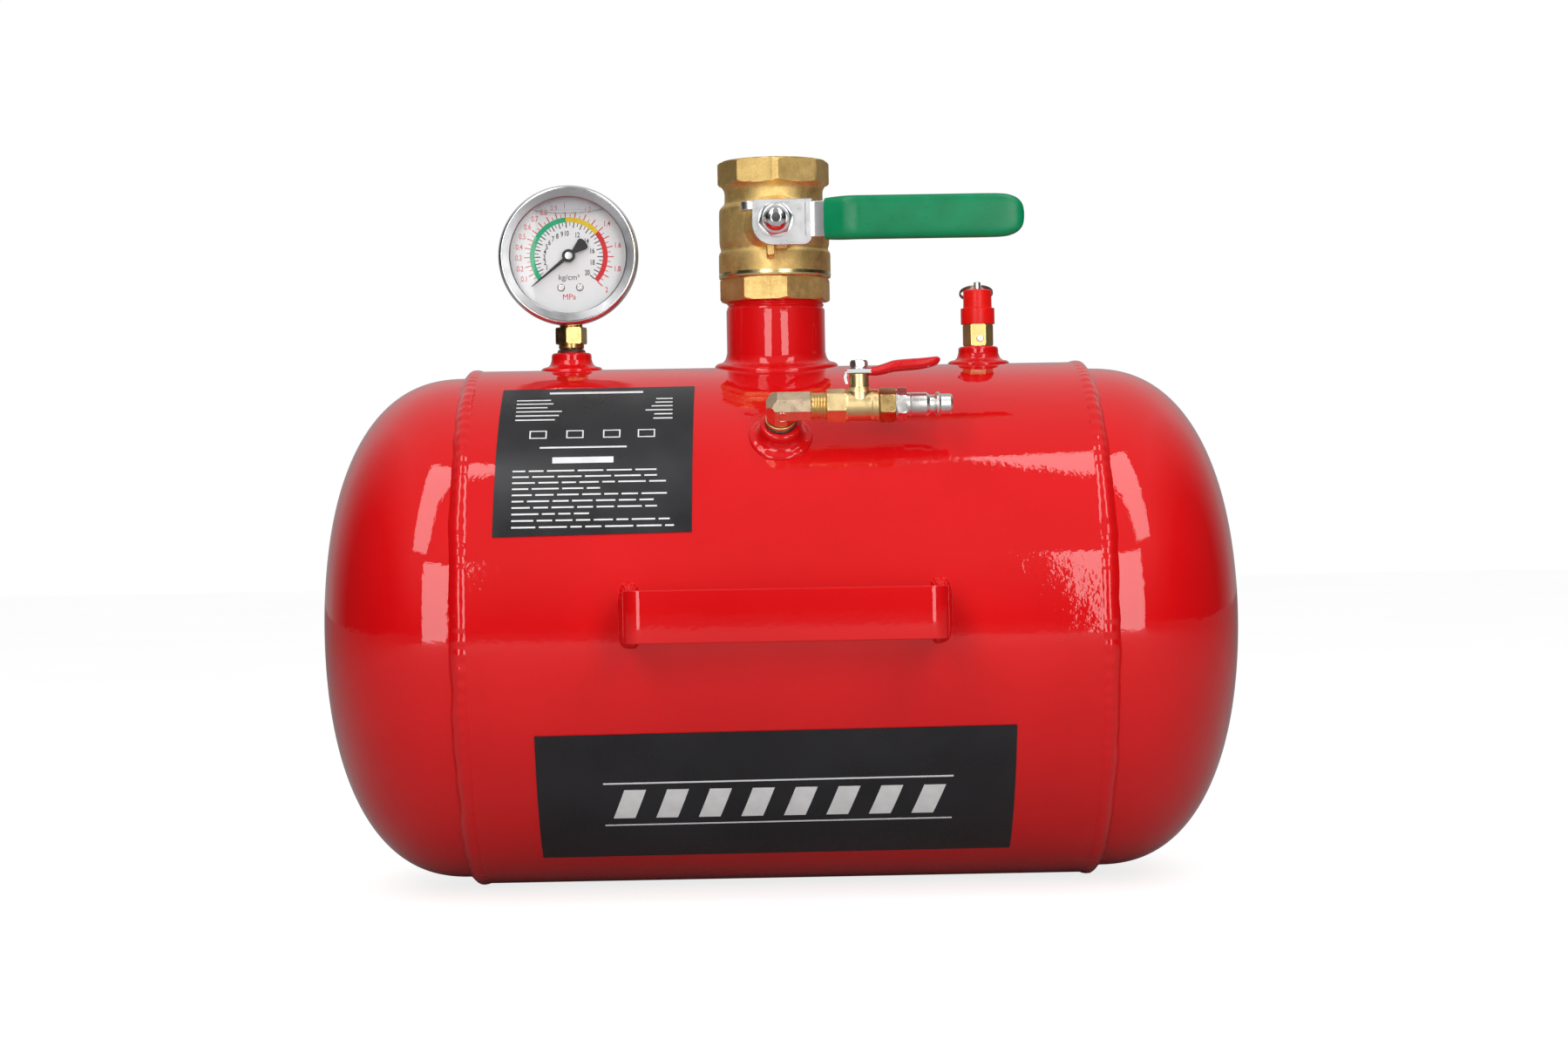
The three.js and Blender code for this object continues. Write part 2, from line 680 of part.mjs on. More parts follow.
function gauge() {
  return group(
    [GAUGE_X, 0, GAUGE_Z],
    gaugeSocket(),
    gaugeCase(),
    gaugeBezel(),
    part("gauge_lens", dialRod(CASE_R - 0.4, 13.9, 16.2, WIDE_SIDES), clearLens),
    gaugeDial(),
    gaugePointer(),
    pointerArbor(),
    sectorGear(),
    movementFrame(),
    bourdonTube(),
    part("gauge_fill_plug", join(rod(2.9, 29, 31.8), rod(4.2, 31.8, 33.6)), blackPaint),
  );
}

// ---------------------------------------------------------------- the air inlet

// The elbow screws into its boss along the boss's own axis and turns to run along X.
function inletElbow() {
  const male = rod(MALE_R, 126, 137.5);
  const upright = rod(ELBOW_R, 137.2, INLET_RADIAL + 6.2, 8);
  const level = alongX(rod(ELBOW_R, -6, ELBOW_END, 8)).translate(0, 0, INLET_RADIAL);
  const uprightBore = rod(INLET_BORE_R, 125, INLET_RADIAL, 12);
  const levelBore = alongX(rod(INLET_BORE_R, -1, 8, 12)).translate(0, 0, INLET_RADIAL);
  const socket = alongX(rod(MALE_R + GAP, 5, ELBOW_END + 1)).translate(0, 0, INLET_RADIAL);
  const elbow = cut(join(male, upright, level), uprightBore, levelBore, socket);
  return part("inlet_elbow", elbow, brass, [0, 0, 0], INLET_TILT);
}

function inletWasher() {
  const washer = tube(MALE_R + GAP, 7.4, BUNG_TOP + GAP, 136.6);
  return part("inlet_washer", washer, zincPlate, [0, 0, 0], INLET_TILT);
}

// The rest of the inlet lies on one axis along X, through the elbow's middle.
function inletValveBody() {
  const outside = join(
    alongX(rod(MALE_R, 6, 22)),
    alongX(hexagon(14, 21.1, 29.8)),
    alongX(rod(6.9, 29.6, 45.1)),
    rod(4.4, 0, 14.3).translate(INLET_STEM_X, 0, 0),
  );
  const chamber = turned([
    [0, 5],
    [INLET_BORE_R, 5],
    [INLET_BORE_R, 29.8],
    [INLET_BALL_R + GAP, 29.8],
    [INLET_BALL_R + GAP, 46],
    [0, 46],
  ]);
  const stemBore = rod(2.2 + RUN, 3, 16, 12).translate(INLET_STEM_X, 0, 0);
  return part("inlet_valve_body", cut(outside, alongX(chamber), stemBore), brass);
}

function inletSeat(name, side) {
  const face = [[3.3, 6], [3.3, 4.9], [5.3, 2.5], [5.3, 6]];
  const profile = side > 0 ? face : face.map(([r, x]) => [r, -x]).reverse();
  return part(name, alongX(ring(profile)), whitePlastic, [INLET_STEM_X, 0, 0]);
}

// Open at rest, with its bore along the flow.
function inletBall() {
  const ball = new THREE.SphereGeometry(INLET_BALL_R, 12, 8);
  const bore = alongX(rod(INLET_BORE_R, -7, 7, 12));
  const slot = block([-3, -1.2, 3.6], [3, 1.2, 7]);
  return part("inlet_ball", cut(ball, bore, slot), chromedBall, [INLET_STEM_X, 0, 0]);
}

function inletStem() {
  const tongue = block([-2, -0.9, 4], [2, 0.9, 7]);
  const shaft = rod(2.2, 6.5, 14.2, 12);
  const square = block([-1.5, -1.5, 14], [1.5, 1.5, 16.4]);
  const thread = rod(1.5, 16, 19.8, 12);
  return part("inlet_stem", join(tongue, shaft, square, thread), zincPlate, [INLET_STEM_X, 0, 0]);
}

function inletInsert() {
  const outside = join(rod(5.4, 42.5, 46), hexagon(14, 45.4, 52.3));
  const inside = join(rod(INLET_BORE_R, 42, 53, 12), rod(5.1, 46.8, 53));
  return part("inlet_valve_insert", alongX(cut(outside, inside)), brass);
}

function inletLeverArm(clearance) {
  const line = [[29.9, INLET_LEVER_Z], [45, INLET_LEVER_Z], [52, 18], [70.5 + clearance, 18]];
  return prism(ribbon(line, 2 + 2 * clearance), 9 + 2 * clearance).rotateX(Math.PI / 2);
}

function inletLever() {
  const stop = block([30.2, -2, 8.4], [31.5, 2, 15]);
  const hole = block([INLET_STEM_X - 1.8, -1.8, 12], [INLET_STEM_X + 1.8, 1.8, 20]);
  return part("inlet_lever", cut(join(inletLeverArm(0), stop), hole), zincPlate);
}

function inletLeverGrip() {
  const line = [[40.6, INLET_LEVER_Z], [45, INLET_LEVER_Z], [52, 18], [73.3, 18]];
  const sleeve = prism(ribbon(line, 5.4), 12.6).rotateX(Math.PI / 2);
  return part("inlet_lever_grip", cut(sleeve, inletLeverArm(GAP)), redVinyl);
}

function inletLeverNut() {
  const nut = cut(hexagon(7.6, 16.8, 20.6), rod(1.8, 16, 21, 12));
  return part("inlet_lever_nut", nut, zincPlate, [INLET_STEM_X, 0, 0]);
}

function couplerPlug() {
  const spigot = turned([
    [0, 47],
    [4.8, 47],
    [4.8, 54],
    [6, 54],
    [6, 67.4],
    [4.5, 68.6],
    [4.5, 71.2],
    [5.6, 71.6],
    [5.6, 72.6],
    [4.8, 72.9],
    [4.8, 78.5],
    [0, 78.5],
  ]);
  const plug = cut(join(spigot, hexagon(14, 53.3, 57.5)), rod(INLET_BORE_R, 46, 80, 12));
  return part("coupler_plug", alongX(plug), nickelPlate);
}

function inlet() {
  const line = group(
    [0, INLET_Y, INLET_Z],
    inletValveBody(),
    inletSeat("inlet_front_seat", 1),
    inletSeat("inlet_back_seat", -1),
    inletBall(),
    inletStem(),
    inletInsert(),
    inletLever(),
    inletLeverGrip(),
    inletLeverNut(),
    couplerPlug(),
  );
  return [inletElbow(), inletWasher(), line];
}

// ---------------------------------------------------------------- the safety valve

function safetyBody() {
  const outside = join(rod(MALE_R, 122, 135), hexagon(SAFETY_HEX, BUNG_TOP + GAP, SAFETY_BODY_TOP));
  const chamber = turned([
    [0, 121],
    [2.4, 121],
    [2.4, 131.1],
    [5, 131.1],
    [5, SAFETY_BODY_TOP + 1],
    [0, SAFETY_BODY_TOP + 1],
  ]);
  const screwHole = towardsFront(rod(1.9, 5.2, 8, 12)).translate(0, 0, 136.6);
  return part("safety_valve_body", cut(outside, chamber, screwHole), brass);
}

function safetyCap() {
  const outside = turned([
    [0, SAFETY_BODY_TOP + GAP],
    [8.4, SAFETY_BODY_TOP + GAP],
    [8.4, 151.7],
    [6.95, 151.7],
    [6.95, 160.5],
    [4.6, 161.7],
    [0, 161.7],
  ]);
  const inside = join(rod(5, 144, 157.6), rod(ROD_R + 0.25, 150, 162));
  return part("safety_cap", cut(outside, inside), redVinyl);
}

function safetyRod() {
  const shaft = rod(ROD_R, 133.2, ROD_TOP);
  const eye = alongX(rod(1.3, -3, 3, 12)).translate(0, 0, RING_Z);
  return part("safety_rod", cut(shaft, eye), zincPlate);
}

function safetyPoppet() {
  const disc = cut(rod(4.3, POPPET_BOTTOM, POPPET_TOP), rod(ROD_R + 0.25, 132.9, 136));
  return part("safety_poppet", disc, brass);
}

class Helix extends THREE.Curve {
  constructor(radius, bottom, top, turns) {
    super();
    Object.assign(this, { radius, bottom, top, turns });
  }

  getPoint(t) {
    const angle = 2 * Math.PI * this.turns * t;
    const height = this.bottom + (this.top - this.bottom) * t;
    return new THREE.Vector3(this.radius * Math.cos(angle), this.radius * Math.sin(angle), height);
  }
}

function safetySpring() {
  const coil = new Helix(3.4, POPPET_TOP + 1.1, 156.5, 5);
  return part("safety_spring", wire(coil, 0.55, 4, 40), darkSteel);
}

// The ring hangs back over the cap from the eye at the rod's top.
function pullRing() {
  const loop = new THREE.TorusGeometry(RING_R, RING_WIRE_R, 6, 24).translate(0, RING_R, 0);
  return part("pull_ring", loop, darkSteel, [0, 0, RING_Z], -RING_TILT);
}

function safetyValve() {
  const screw = towardsFront(rod(1.6, 5.4, 7.1, 12)).translate(0, 0, 136.6);
  return group(
    [SAFETY_X, 0, 0],
    safetyBody(),
    part("safety_screw", screw, zincPlate),
    safetyCap(),
    safetyRod(),
    safetyPoppet(),
    safetySpring(),
    pullRing(),
  );
}

// ---------------------------------------------------------------- the whole tank

const airTank = group(
  [0, AXIS_Y, AXIS_Z],
  ...vessel(),
  ...handle(),
  label("data_label", -132, -41, 20.5, 65.5),
  label("front_label", -114.5, 104.7, -58.1, -20.8),
  ...outletValve(),
  gauge(),
  ...inlet(),
  safetyValve(),
);

export default airTank;
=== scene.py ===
"""Looks for a 20 litre air tank that seats tyre beads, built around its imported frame.

The frame is in metres, with +Z up and the carry handle towards -Y. Pieces are drawn in millimetres from the
tank's axis, which lies along X, and are moved into the frame as they are made.
"""

import math
import random

import bmesh
import bpy
import numpy as np
from mathutils import Matrix, Vector, noise


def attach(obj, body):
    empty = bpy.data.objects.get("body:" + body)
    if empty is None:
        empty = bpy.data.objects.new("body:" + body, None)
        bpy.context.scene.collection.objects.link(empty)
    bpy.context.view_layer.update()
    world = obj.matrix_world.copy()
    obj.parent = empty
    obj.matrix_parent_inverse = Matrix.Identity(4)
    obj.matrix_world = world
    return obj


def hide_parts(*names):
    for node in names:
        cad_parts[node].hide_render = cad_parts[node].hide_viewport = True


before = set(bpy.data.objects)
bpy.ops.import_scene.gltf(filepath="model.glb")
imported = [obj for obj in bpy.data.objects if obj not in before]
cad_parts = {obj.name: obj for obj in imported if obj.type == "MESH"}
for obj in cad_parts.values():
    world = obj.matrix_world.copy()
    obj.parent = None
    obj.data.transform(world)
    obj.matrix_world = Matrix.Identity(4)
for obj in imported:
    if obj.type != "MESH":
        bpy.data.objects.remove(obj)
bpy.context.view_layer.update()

MM = 0.001
AXIS = np.array([0, 0.0165, 0.126])

# Pressure vessel
SHELL_R = 125
SHELL_HALF = 146
WALL = 3
HEAD_R = 121.7
HEAD_BEND = 152
TANK_HALF = 220.35
HEAD_LAP = 134
HEAD_POWER = 2.4
BEAD_R = 126
BEAD_FOOT_R = 118.5
BEAD_X = 146.6
HANDLE_HALF = 72
HANDLE_FRONT = 159
HANDLE_THICK = 4
HANDLE_WIDTH = 23.6
HANDLE_Z = 8.2
HANDLE_BEND = 8
BUNG_R = 9.8
BUNG_TOP = 133.5
GAUGE_X = -100.5
SAFETY_X = 99.4

# Outlet neck and main valve
NECK_R = 24.15
NECK_SHOULDER = 153.8
CAP_BOTTOM = 157
CAP_TOP = 168
COLLAR_BOTTOM = 169.6
SOCKET_BOTTOM = 213.7
VALVE_TOP = 225.7
STEM_Z = 192.6
LEVER_DEPTH = 48
CAP_TURN = -78.7
SOCKET_TURN = -86

# Gauge
GAUGE_Z = 180.3
DIAL_R = 29
DIAL_FACE = 9.6
DIAL_PRINT = 9.64
BAND_IN = 16.6
BAND_OUT = 19
DIAL_SCREWS = [("left", -4.0, 20), ("right", 5.1, -35)]
DIAL_SCREW_Y = -15.3
FIGURE_SHARE = 0.7
FLUID_HALF = 17.5

# Air inlet
INLET_TILT = 45.1
INLET_RADIAL = 144
INLET_Y = -INLET_RADIAL * math.sin(math.radians(INLET_TILT))
INLET_Z = INLET_RADIAL * math.cos(math.radians(INLET_TILT))
INLET_STEM_X = 36.1

# Safety valve
RING_Z = 163.1
RING_R = 7.95
RING_TILT = 20

# Labels
FILM_LIFT = 0.34
PRINT_LIFT = 0.42
SHEET_THICK = 0.07

# Studio and camera, in metres, watts and degrees
FLOOR_HALF = 7
FLOOR_Z = -0.0002
SIDE_POWER = 5.7
UPPER_POWER = 7.2
VIEW_PLACE = (-0.02271, -1.44425, 0.17540)
VIEW_YAW = 0.983
VIEW_PITCH = -0.040
VIEW_ROLL = -0.993
VIEW_LENS = 68.23


# ---- shapes


class Shape:
    """A mesh in millimetres: its points, and its faces as lists of point numbers."""

    def __init__(self, points, faces):
        self.points = np.asarray(points, float).reshape(-1, 3)
        self.faces = [list(face) for face in faces]

    def __add__(self, other):
        shift = len(self.points)
        faces = self.faces + [[i + shift for i in face] for face in other.faces]
        return Shape(np.vstack([self.points, other.points]), faces)

    def moved(self, x=0, y=0, z=0):
        return Shape(self.points + np.array([x, y, z]), self.faces)

    def turned(self, axis, degrees):
        turn = np.array(Matrix.Rotation(math.radians(degrees), 3, axis))
        return Shape(self.points @ turn.T, self.faces)

    def scaled(self, x=1, y=1, z=1):
        return Shape(self.points * np.array([x, y, z]), self.faces)

    def along_x(self):
        return self.turned("Y", 90)

    def to_front(self):
        return self.turned("X", 90)


def total(shapes):
    shapes = list(shapes)
    joined = shapes[0]
    for shape in shapes[1:]:
        joined = joined + shape
    return joined


def grid(rows, loop=False):
    """Skins rows of points, each a closed loop. The ends are capped, unless the rows close on themselves."""
    rows = np.asarray(rows, float)
    count, around = rows.shape[:2]
    faces = []
    for i in range(count if loop else count - 1):
        low, high = i * around, ((i + 1) % count) * around
        for j in range(around):
            k = (j + 1) % around
            faces.append([low + j, low + k, high + k, high + j])
    if not loop:
        faces.append(list(range(around))[::-1])
        faces.append(list(range((count - 1) * around, count * around)))
    return Shape(rows.reshape(-1, 3), faces)


def angles(sides):
    return np.linspace(0, 2 * math.pi, sides, endpoint=False)


def row_at(radius, around, height):
    """Points at the angles around Z, where radius and height may differ from point to point."""
    return np.stack([radius * np.cos(around), radius * np.sin(around), height + np.zeros(len(around))], 1)


def spun(rows, sides=96, loop=False):
    """Skins rows of (radius, height) about Z, where the radius may be a function of the angle."""
    around = angles(sides)
    made = []
    for radius, height in rows:
        r = radius(around) if callable(radius) else radius
        made.append(row_at(r, around, height))
    return grid(made, loop)


def rounded(corners, steps=5):
    """A line of (x, y, radius) corners, with each corner rounded to its radius."""
    points = [np.array(c[:2], float) for c in corners]
    line = []
    for i, point in enumerate(points):
        radius = corners[i][2] if len(corners[i]) > 2 else 0
        if radius == 0 or i in (0, len(points) - 1):
            line.append(point)
            continue
        before = points[i - 1] - point
        after = points[i + 1] - point
        before_len, after_len = np.linalg.norm(before), np.linalg.norm(after)
        before, after = before / before_len, after / after_len
        half = math.acos(np.clip(before @ after, -1, 1)) / 2
        reach = min(radius / math.tan(half), before_len * 0.49, after_len * 0.49)
        for t in np.linspace(0, 1, steps + 1):
            start, end = point + before * reach, point + after * reach
            line.append((1 - t) ** 2 * start + 2 * t * (1 - t) * point + t * t * end)
    return [tuple(p) for p in line]


def turned_solid(corners, sides=96):
    """A solid of revolution from (radius, height, rounding) corners, closed flat where it misses the axis."""
    first, last = corners[0], corners[-1]
    if first[0]:
        corners = [(0, first[1]), *corners]
    if last[0]:
        corners = [*corners, (0, last[1])]
    return spun([(max(r, 0.01), h) for r, h in rounded(corners)], sides)


def cylinder(radius, low, high, sides=48):
    return turned_solid([(radius, low), (radius, high)], sides)


def turned_ring(corners, sides=96):
    """A ring of revolution from a closed outline of (radius, height, rounding) corners."""
    return spun(closed_outline(corners), sides, loop=True)


def closed_outline(corners, steps=5):
    return rounded([corners[-1], *corners, corners[0]], steps)[1:-1]


def sweep(path, outline, up=(0, 0, 1)):
    """Sweeps an outline of (across, up) points along a path that never runs along up."""
    path = np.asarray(path, float)
    ahead = np.gradient(path, axis=0)
    ahead /= np.linalg.norm(ahead, axis=1)[:, None]
    up = np.array(up, float)
    sections = []
    for point, way in zip(path, ahead):
        across = np.cross(way, up)
        across /= np.linalg.norm(across)
        top = np.cross(across, way)
        sections.append([point + across * a + top * b for a, b in outline])
    return grid(sections)


def round_bar(radius, sides):
    return [(radius * math.cos(a), radius * math.sin(a)) for a in angles(sides)]


def box_outline(width, height, radius):
    x, y = width / 2, height / 2
    return closed_outline([(-x, -y, radius), (x, -y, radius), (x, y, radius), (-x, y, radius)], 4)


def super_outline(width, height, power, count):
    """A rectangle with full, rounded sides; the higher the power, the squarer it is."""
    made = []
    for a in angles(count):
        c, s = math.cos(a), math.sin(a)
        x = math.copysign(abs(c) ** (2 / power), c) * width / 2
        y = math.copysign(abs(s) ** (2 / power), s) * height / 2
        made.append((x, y))
    return made


def spline(points, count):
    """A smooth line through points, as count points."""
    points = np.asarray(points, float)
    ends = [2 * points[0] - points[1], *points, 2 * points[-1] - points[-2]]
    made = []
    for t in np.linspace(0, len(points) - 1, count):
        i = min(int(t), len(points) - 2)
        u = t - i
        a, b, c, d = (np.array(p) for p in ends[i : i + 4])
        bend = (2 * a - 5 * b + 4 * c - d) * u**2
        twist = (3 * b - a - 3 * c + d) * u**3
        made.append(0.5 * (2 * b + (c - a) * u + bend + twist))
    return np.array(made)


def polygon_radius(sides, corner, turn=0.0):
    """The radius of a regular polygon, as a function of the angle, with a corner at turn degrees."""

    def radius(around):
        step = 2 * math.pi / sides
        off = (around - math.radians(turn)) % step - step / 2
        return corner * math.cos(step / 2) / np.cos(off)

    return radius


def nut(corner, bottom, top, turn=0.0, crown=0.9, bore=0.0, low=0.955):
    """A hexagon whose corners are turned away to cones at its ends."""
    flat = polygon_radius(6, corner, turn)

    def row(t):
        limit = corner * (low + (1 - low) * t)
        return lambda around: np.minimum(flat(around), limit)

    made = [(row(t), bottom + crown * t) for t in np.linspace(0, 1, 6)]
    made += [(row(t), top - crown * t) for t in np.linspace(1, 0, 6)]
    if bore:
        return spun([(bore, bottom), *made, (bore, top)], 192, loop=True)
    return spun(made, 192)


def thread(radius, depth, pitch, bottom, top, per_turn=10):
    """Rows of (radius, height) for a screw thread, where the radius winds with the angle."""
    made = []
    for h in np.arange(bottom, top, pitch / per_turn):

        def crest(around, h=h):
            wave = (h / pitch + around / (2 * math.pi)) % 1
            return radius - depth * np.abs(2 * wave - 1)

        made.append((crest, h))
    return made


def plate(outline, low, high, bevel):
    """A flat plate along Z with its edges eased."""
    edge = np.asarray(outline, float)
    middle = edge.mean(0)
    span = np.abs(edge - middle).max()
    inner = middle + (edge - middle) * (1 - bevel / span)
    rows = [(inner, low), (edge, low + bevel), (edge, high - bevel), (inner, high)]
    return grid([level(ring, h) for ring, h in rows])


def level(outline, height):
    return [(x, y, height) for x, y in outline]


def slab(outline, low, high):
    return grid([level(outline, low), level(outline, high)])


def arc(x, y, radius, start, end, steps):
    turn = np.radians(np.linspace(start, end, steps + 1))
    return [(x + radius * math.cos(a), y + radius * math.sin(a)) for a in turn]


def lumps(points, size, seed):
    """A smooth random value from -1 to 1 at each point."""
    shift = Vector((seed * 13.7, seed * 5.1, seed * 9.3))
    return np.array([noise.noise(Vector(p) / size + shift) for p in points])


def unit_ring(around):
    return row_at(1, around, 0)


# ---- pieces


def placed(name, data):
    """A new object in the scene."""
    item = bpy.data.objects.new(name, data)
    bpy.context.scene.collection.objects.link(item)
    return item


def evaluated(item):
    """The mesh that an object comes to, in its own units."""
    view = bpy.context.evaluated_depsgraph_get()
    made = bpy.data.meshes.new_from_object(item.evaluated_get(view))
    shape = Shape([v.co for v in made.vertices], [p.vertices for p in made.polygons])
    bpy.data.meshes.remove(made)
    return shape


def to_mesh(name, shape):
    mesh = bpy.data.meshes.new(name)
    mesh.from_pydata((shape.points * MM + AXIS).tolist(), [], shape.faces)
    work = bmesh.new()
    work.from_mesh(mesh)
    bmesh.ops.remove_doubles(work, verts=work.verts, dist=1e-6)
    bmesh.ops.recalc_face_normals(work, faces=work.faces)
    work.to_mesh(mesh)
    work.free()
    return mesh


def add(name, shape, material, body="tank", nodes=(), slot=None, sharp=38, bevel=0.0):
    """Makes a piece of the object from a shape, and puts it on its body in place of its CAD nodes."""
    piece = placed(name, to_mesh(name, shape))
    piece.data.materials.append(material)
    piece.data.shade_smooth()
    piece.data.set_sharp_from_angle(angle=math.radians(sharp))
    if bevel:
        ease = piece.modifiers.new("eased edges", "BEVEL")
        ease.width = bevel * MM
        ease.segments = 2
        ease.limit_method = "ANGLE"
        ease.angle_limit = math.radians(30)
        ease.harden_normals = True
    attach(piece, body)
    if nodes:
        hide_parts(*nodes)
    slot = slot or SLOTS[material.name]
    return piece


def carve(shape, *tools, operation="DIFFERENCE"):
    """Cuts tools from a shape, or joins them to it."""
    main = placed("work", to_mesh("work", shape))
    others = []
    for tool in tools:
        other = placed("tool", to_mesh("tool", tool))
        others.append(other)
        step = main.modifiers.new("step", "BOOLEAN")
        step.operation = operation
        step.solver = "EXACT"
        step.object = other
    made = evaluated(main)
    for item in [main, *others]:
        bpy.data.objects.remove(item)
    return Shape((made.points - AXIS) / MM, made.faces)


# ---- materials


def material(name, **sockets):
    made = bpy.data.materials.new(name)
    made.use_nodes = True
    shader = made.node_tree.nodes["Principled BSDF"]
    for socket, value in sockets.items():
        shader.inputs[socket.replace("_", " ")].default_value = value
    return made


def node(made, kind, **values):
    new = made.node_tree.nodes.new("ShaderNode" + kind)
    for socket, value in values.items():
        new.inputs[socket.replace("_", " ")].default_value = value
    return new


def link(made, source, target):
    made.node_tree.links.new(source, target)


def shader_of(made):
    return made.node_tree.nodes["Principled BSDF"]


def grain(made, size, detail=3.0, stretch=(1, 1, 1), roughness=0.5):
    """Noise whose lumps are about size millimetres across, stretched along each axis."""
    where = node(made, "TexCoord")
    squeeze = node(made, "Mapping", Scale=[1 / s for s in stretch])
    texture = node(made, "TexNoise", Scale=1000 / size, Detail=detail, Roughness=roughness)
    link(made, where.outputs["Object"], squeeze.inputs["Vector"])
    link(made, squeeze.outputs["Vector"], texture.inputs["Vector"])
    return texture.outputs["Fac"]


def rescaled(made, source, start, end, low, high):
    """Maps the values from start to end onto those from low to high."""
    scale = node(made, "MapRange", From_Min=start, From_Max=end, To_Min=low, To_Max=high)
    link(made, source, scale.inputs["Value"])
    return scale.outputs["Result"]


def vary_colour(made, source, dark, light, low=0.3, high=0.7):
    ramp = node(made, "ValToRGB")
    for stop, place, colour in zip(ramp.color_ramp.elements, (low, high), (dark, light)):
        stop.position = place
        stop.color = (*colour, 1)
    link(made, source, ramp.inputs["Fac"])
    link(made, ramp.outputs["Color"], shader_of(made).inputs["Base Color"])


def vary_roughness(made, source, smooth, rough):
    link(made, rescaled(made, source, 0.3, 0.7, smooth, rough), shader_of(made).inputs["Roughness"])


def relief(made, layers, coat=False):
    """Layers of (source, height in millimetres), from coarse to fine."""
    last = None
    for source, height in layers:
        bump = node(made, "Bump", Distance=height * MM, Strength=1.0)
        link(made, source, bump.inputs["Height"])
        if last:
            link(made, last.outputs["Normal"], bump.inputs["Normal"])
        last = bump
    link(made, last.outputs["Normal"], shader_of(made).inputs["Normal"])
    if coat:
        link(made, last.outputs["Normal"], shader_of(made).inputs["Coat Normal"])


def mean(made, first, second, share=0.5):
    """Mixes two noise values, with share as the part of the second."""
    mix = node(made, "Mix", Factor=share)
    link(made, first, mix.inputs["A"])
    link(made, second, mix.inputs["B"])
    return mix.outputs["Result"]


def enamel():
    """Sprayed enamel: a coloured ground under a clear, glossy coat with a faint orange peel."""
    made = material("red_enamel", Roughness=0.5, Specular_IOR_Level=0.0, Coat_Weight=1.0, Coat_Roughness=0.03)
    vary_colour(made, grain(made, 60, 4), (0.68, 0.004, 0.006), (0.75, 0.006, 0.008))
    relief(made, [(grain(made, 13, 2), 0.07), (grain(made, 2.6, 2), 0.035)], coat=True)
    return made


def cast_brass(name, dark, light, rough=(0.46, 0.6), depth=0.05):
    """Blasted brass casting: an even grain of fine pits, with the tarnish a little uneven."""
    made = material(name, Metallic=1.0)
    vary_colour(made, mean(made, grain(made, 9, 3), grain(made, 0.5, 2), 0.55), dark, light, 0.3, 0.7)
    vary_roughness(made, grain(made, 3, 4), *rough)
    relief(made, [(grain(made, 2.4, 3), depth * 0.6), (grain(made, 0.6, 2), depth)])
    return made


def turned_metal(name, colour, rough, size=0.35, depth=0.004, stretch=(30, 30, 1)):
    """Turned or drawn metal, with fine marks along its grain and a few stains."""
    made = material(name, Metallic=1.0)
    dark = tuple(c * 0.86 for c in colour)
    vary_colour(made, grain(made, 12, 4), dark, colour)
    vary_roughness(made, grain(made, 5, 4), *rough)
    relief(made, [(grain(made, size, 3, stretch), depth)])
    return made


def zinc():
    """Zinc plate: bright, with the dull flakes of its crystals."""
    made = material("zinc_plate", Metallic=1.0)
    flakes = mean(made, grain(made, 7, 4), grain(made, 2.6, 3))
    vary_colour(made, flakes, (0.76, 0.76, 0.77), (0.84, 0.84, 0.84), 0.2, 0.8)
    vary_roughness(made, grain(made, 5, 2), 0.27, 0.31)
    relief(made, [(grain(made, 9, 2), 0.006), (grain(made, 0.5, 3, (18, 1, 1)), 0.001)])
    return made


def vinyl(name, dark, light, rough=(0.26, 0.36)):
    """Dipped vinyl: a soft skin with slow waves and a faint grain."""
    made = material(name, Specular_IOR_Level=0.3)
    vary_colour(made, grain(made, 14, 3), dark, light)
    vary_roughness(made, grain(made, 4, 3), *rough)
    relief(made, [(grain(made, 11, 2), 0.1), (grain(made, 0.8, 3), 0.008)])
    return made


def plain(name, dark, light, rough, size=3.0, depth=0.01):
    """Plastic, rubber, film or ink, with its colour and gloss a little uneven."""
    made = material(name)
    vary_colour(made, grain(made, size * 2, 3), dark, light)
    vary_roughness(made, grain(made, size, 3), *rough)
    relief(made, [(grain(made, size / 4, 3), depth)])
    return made


def lens_glass():
    """Clear glass that lets light through to the dial, and mirrors more of the room at a slant."""
    made = material("lens_glass")
    tree = made.node_tree
    tree.nodes.remove(shader_of(made))
    clear = node(made, "BsdfTransparent", Color=(0.985, 0.985, 0.985, 1))
    mirror = node(made, "BsdfGlossy", Roughness=0.03)
    facing = node(made, "LayerWeight", Blend=0.5)
    slant = node(made, "Math")
    slant.operation = "POWER"
    slant.inputs[1].default_value = 5.0
    mix = node(made, "MixShader")
    ripple = node(made, "Bump", Distance=0.02 * MM)
    link(made, grain(made, 12, 2), ripple.inputs["Height"])
    link(made, ripple.outputs["Normal"], mirror.inputs["Normal"])
    link(made, facing.outputs["Facing"], slant.inputs[0])
    link(made, rescaled(made, slant.outputs["Value"], 0, 1, 0.035, 1), mix.inputs[0])
    link(made, clear.outputs["BSDF"], mix.inputs[1])
    link(made, mirror.outputs["BSDF"], mix.inputs[2])
    link(made, mix.outputs["Shader"], tree.nodes["Material Output"].inputs["Surface"])
    return made


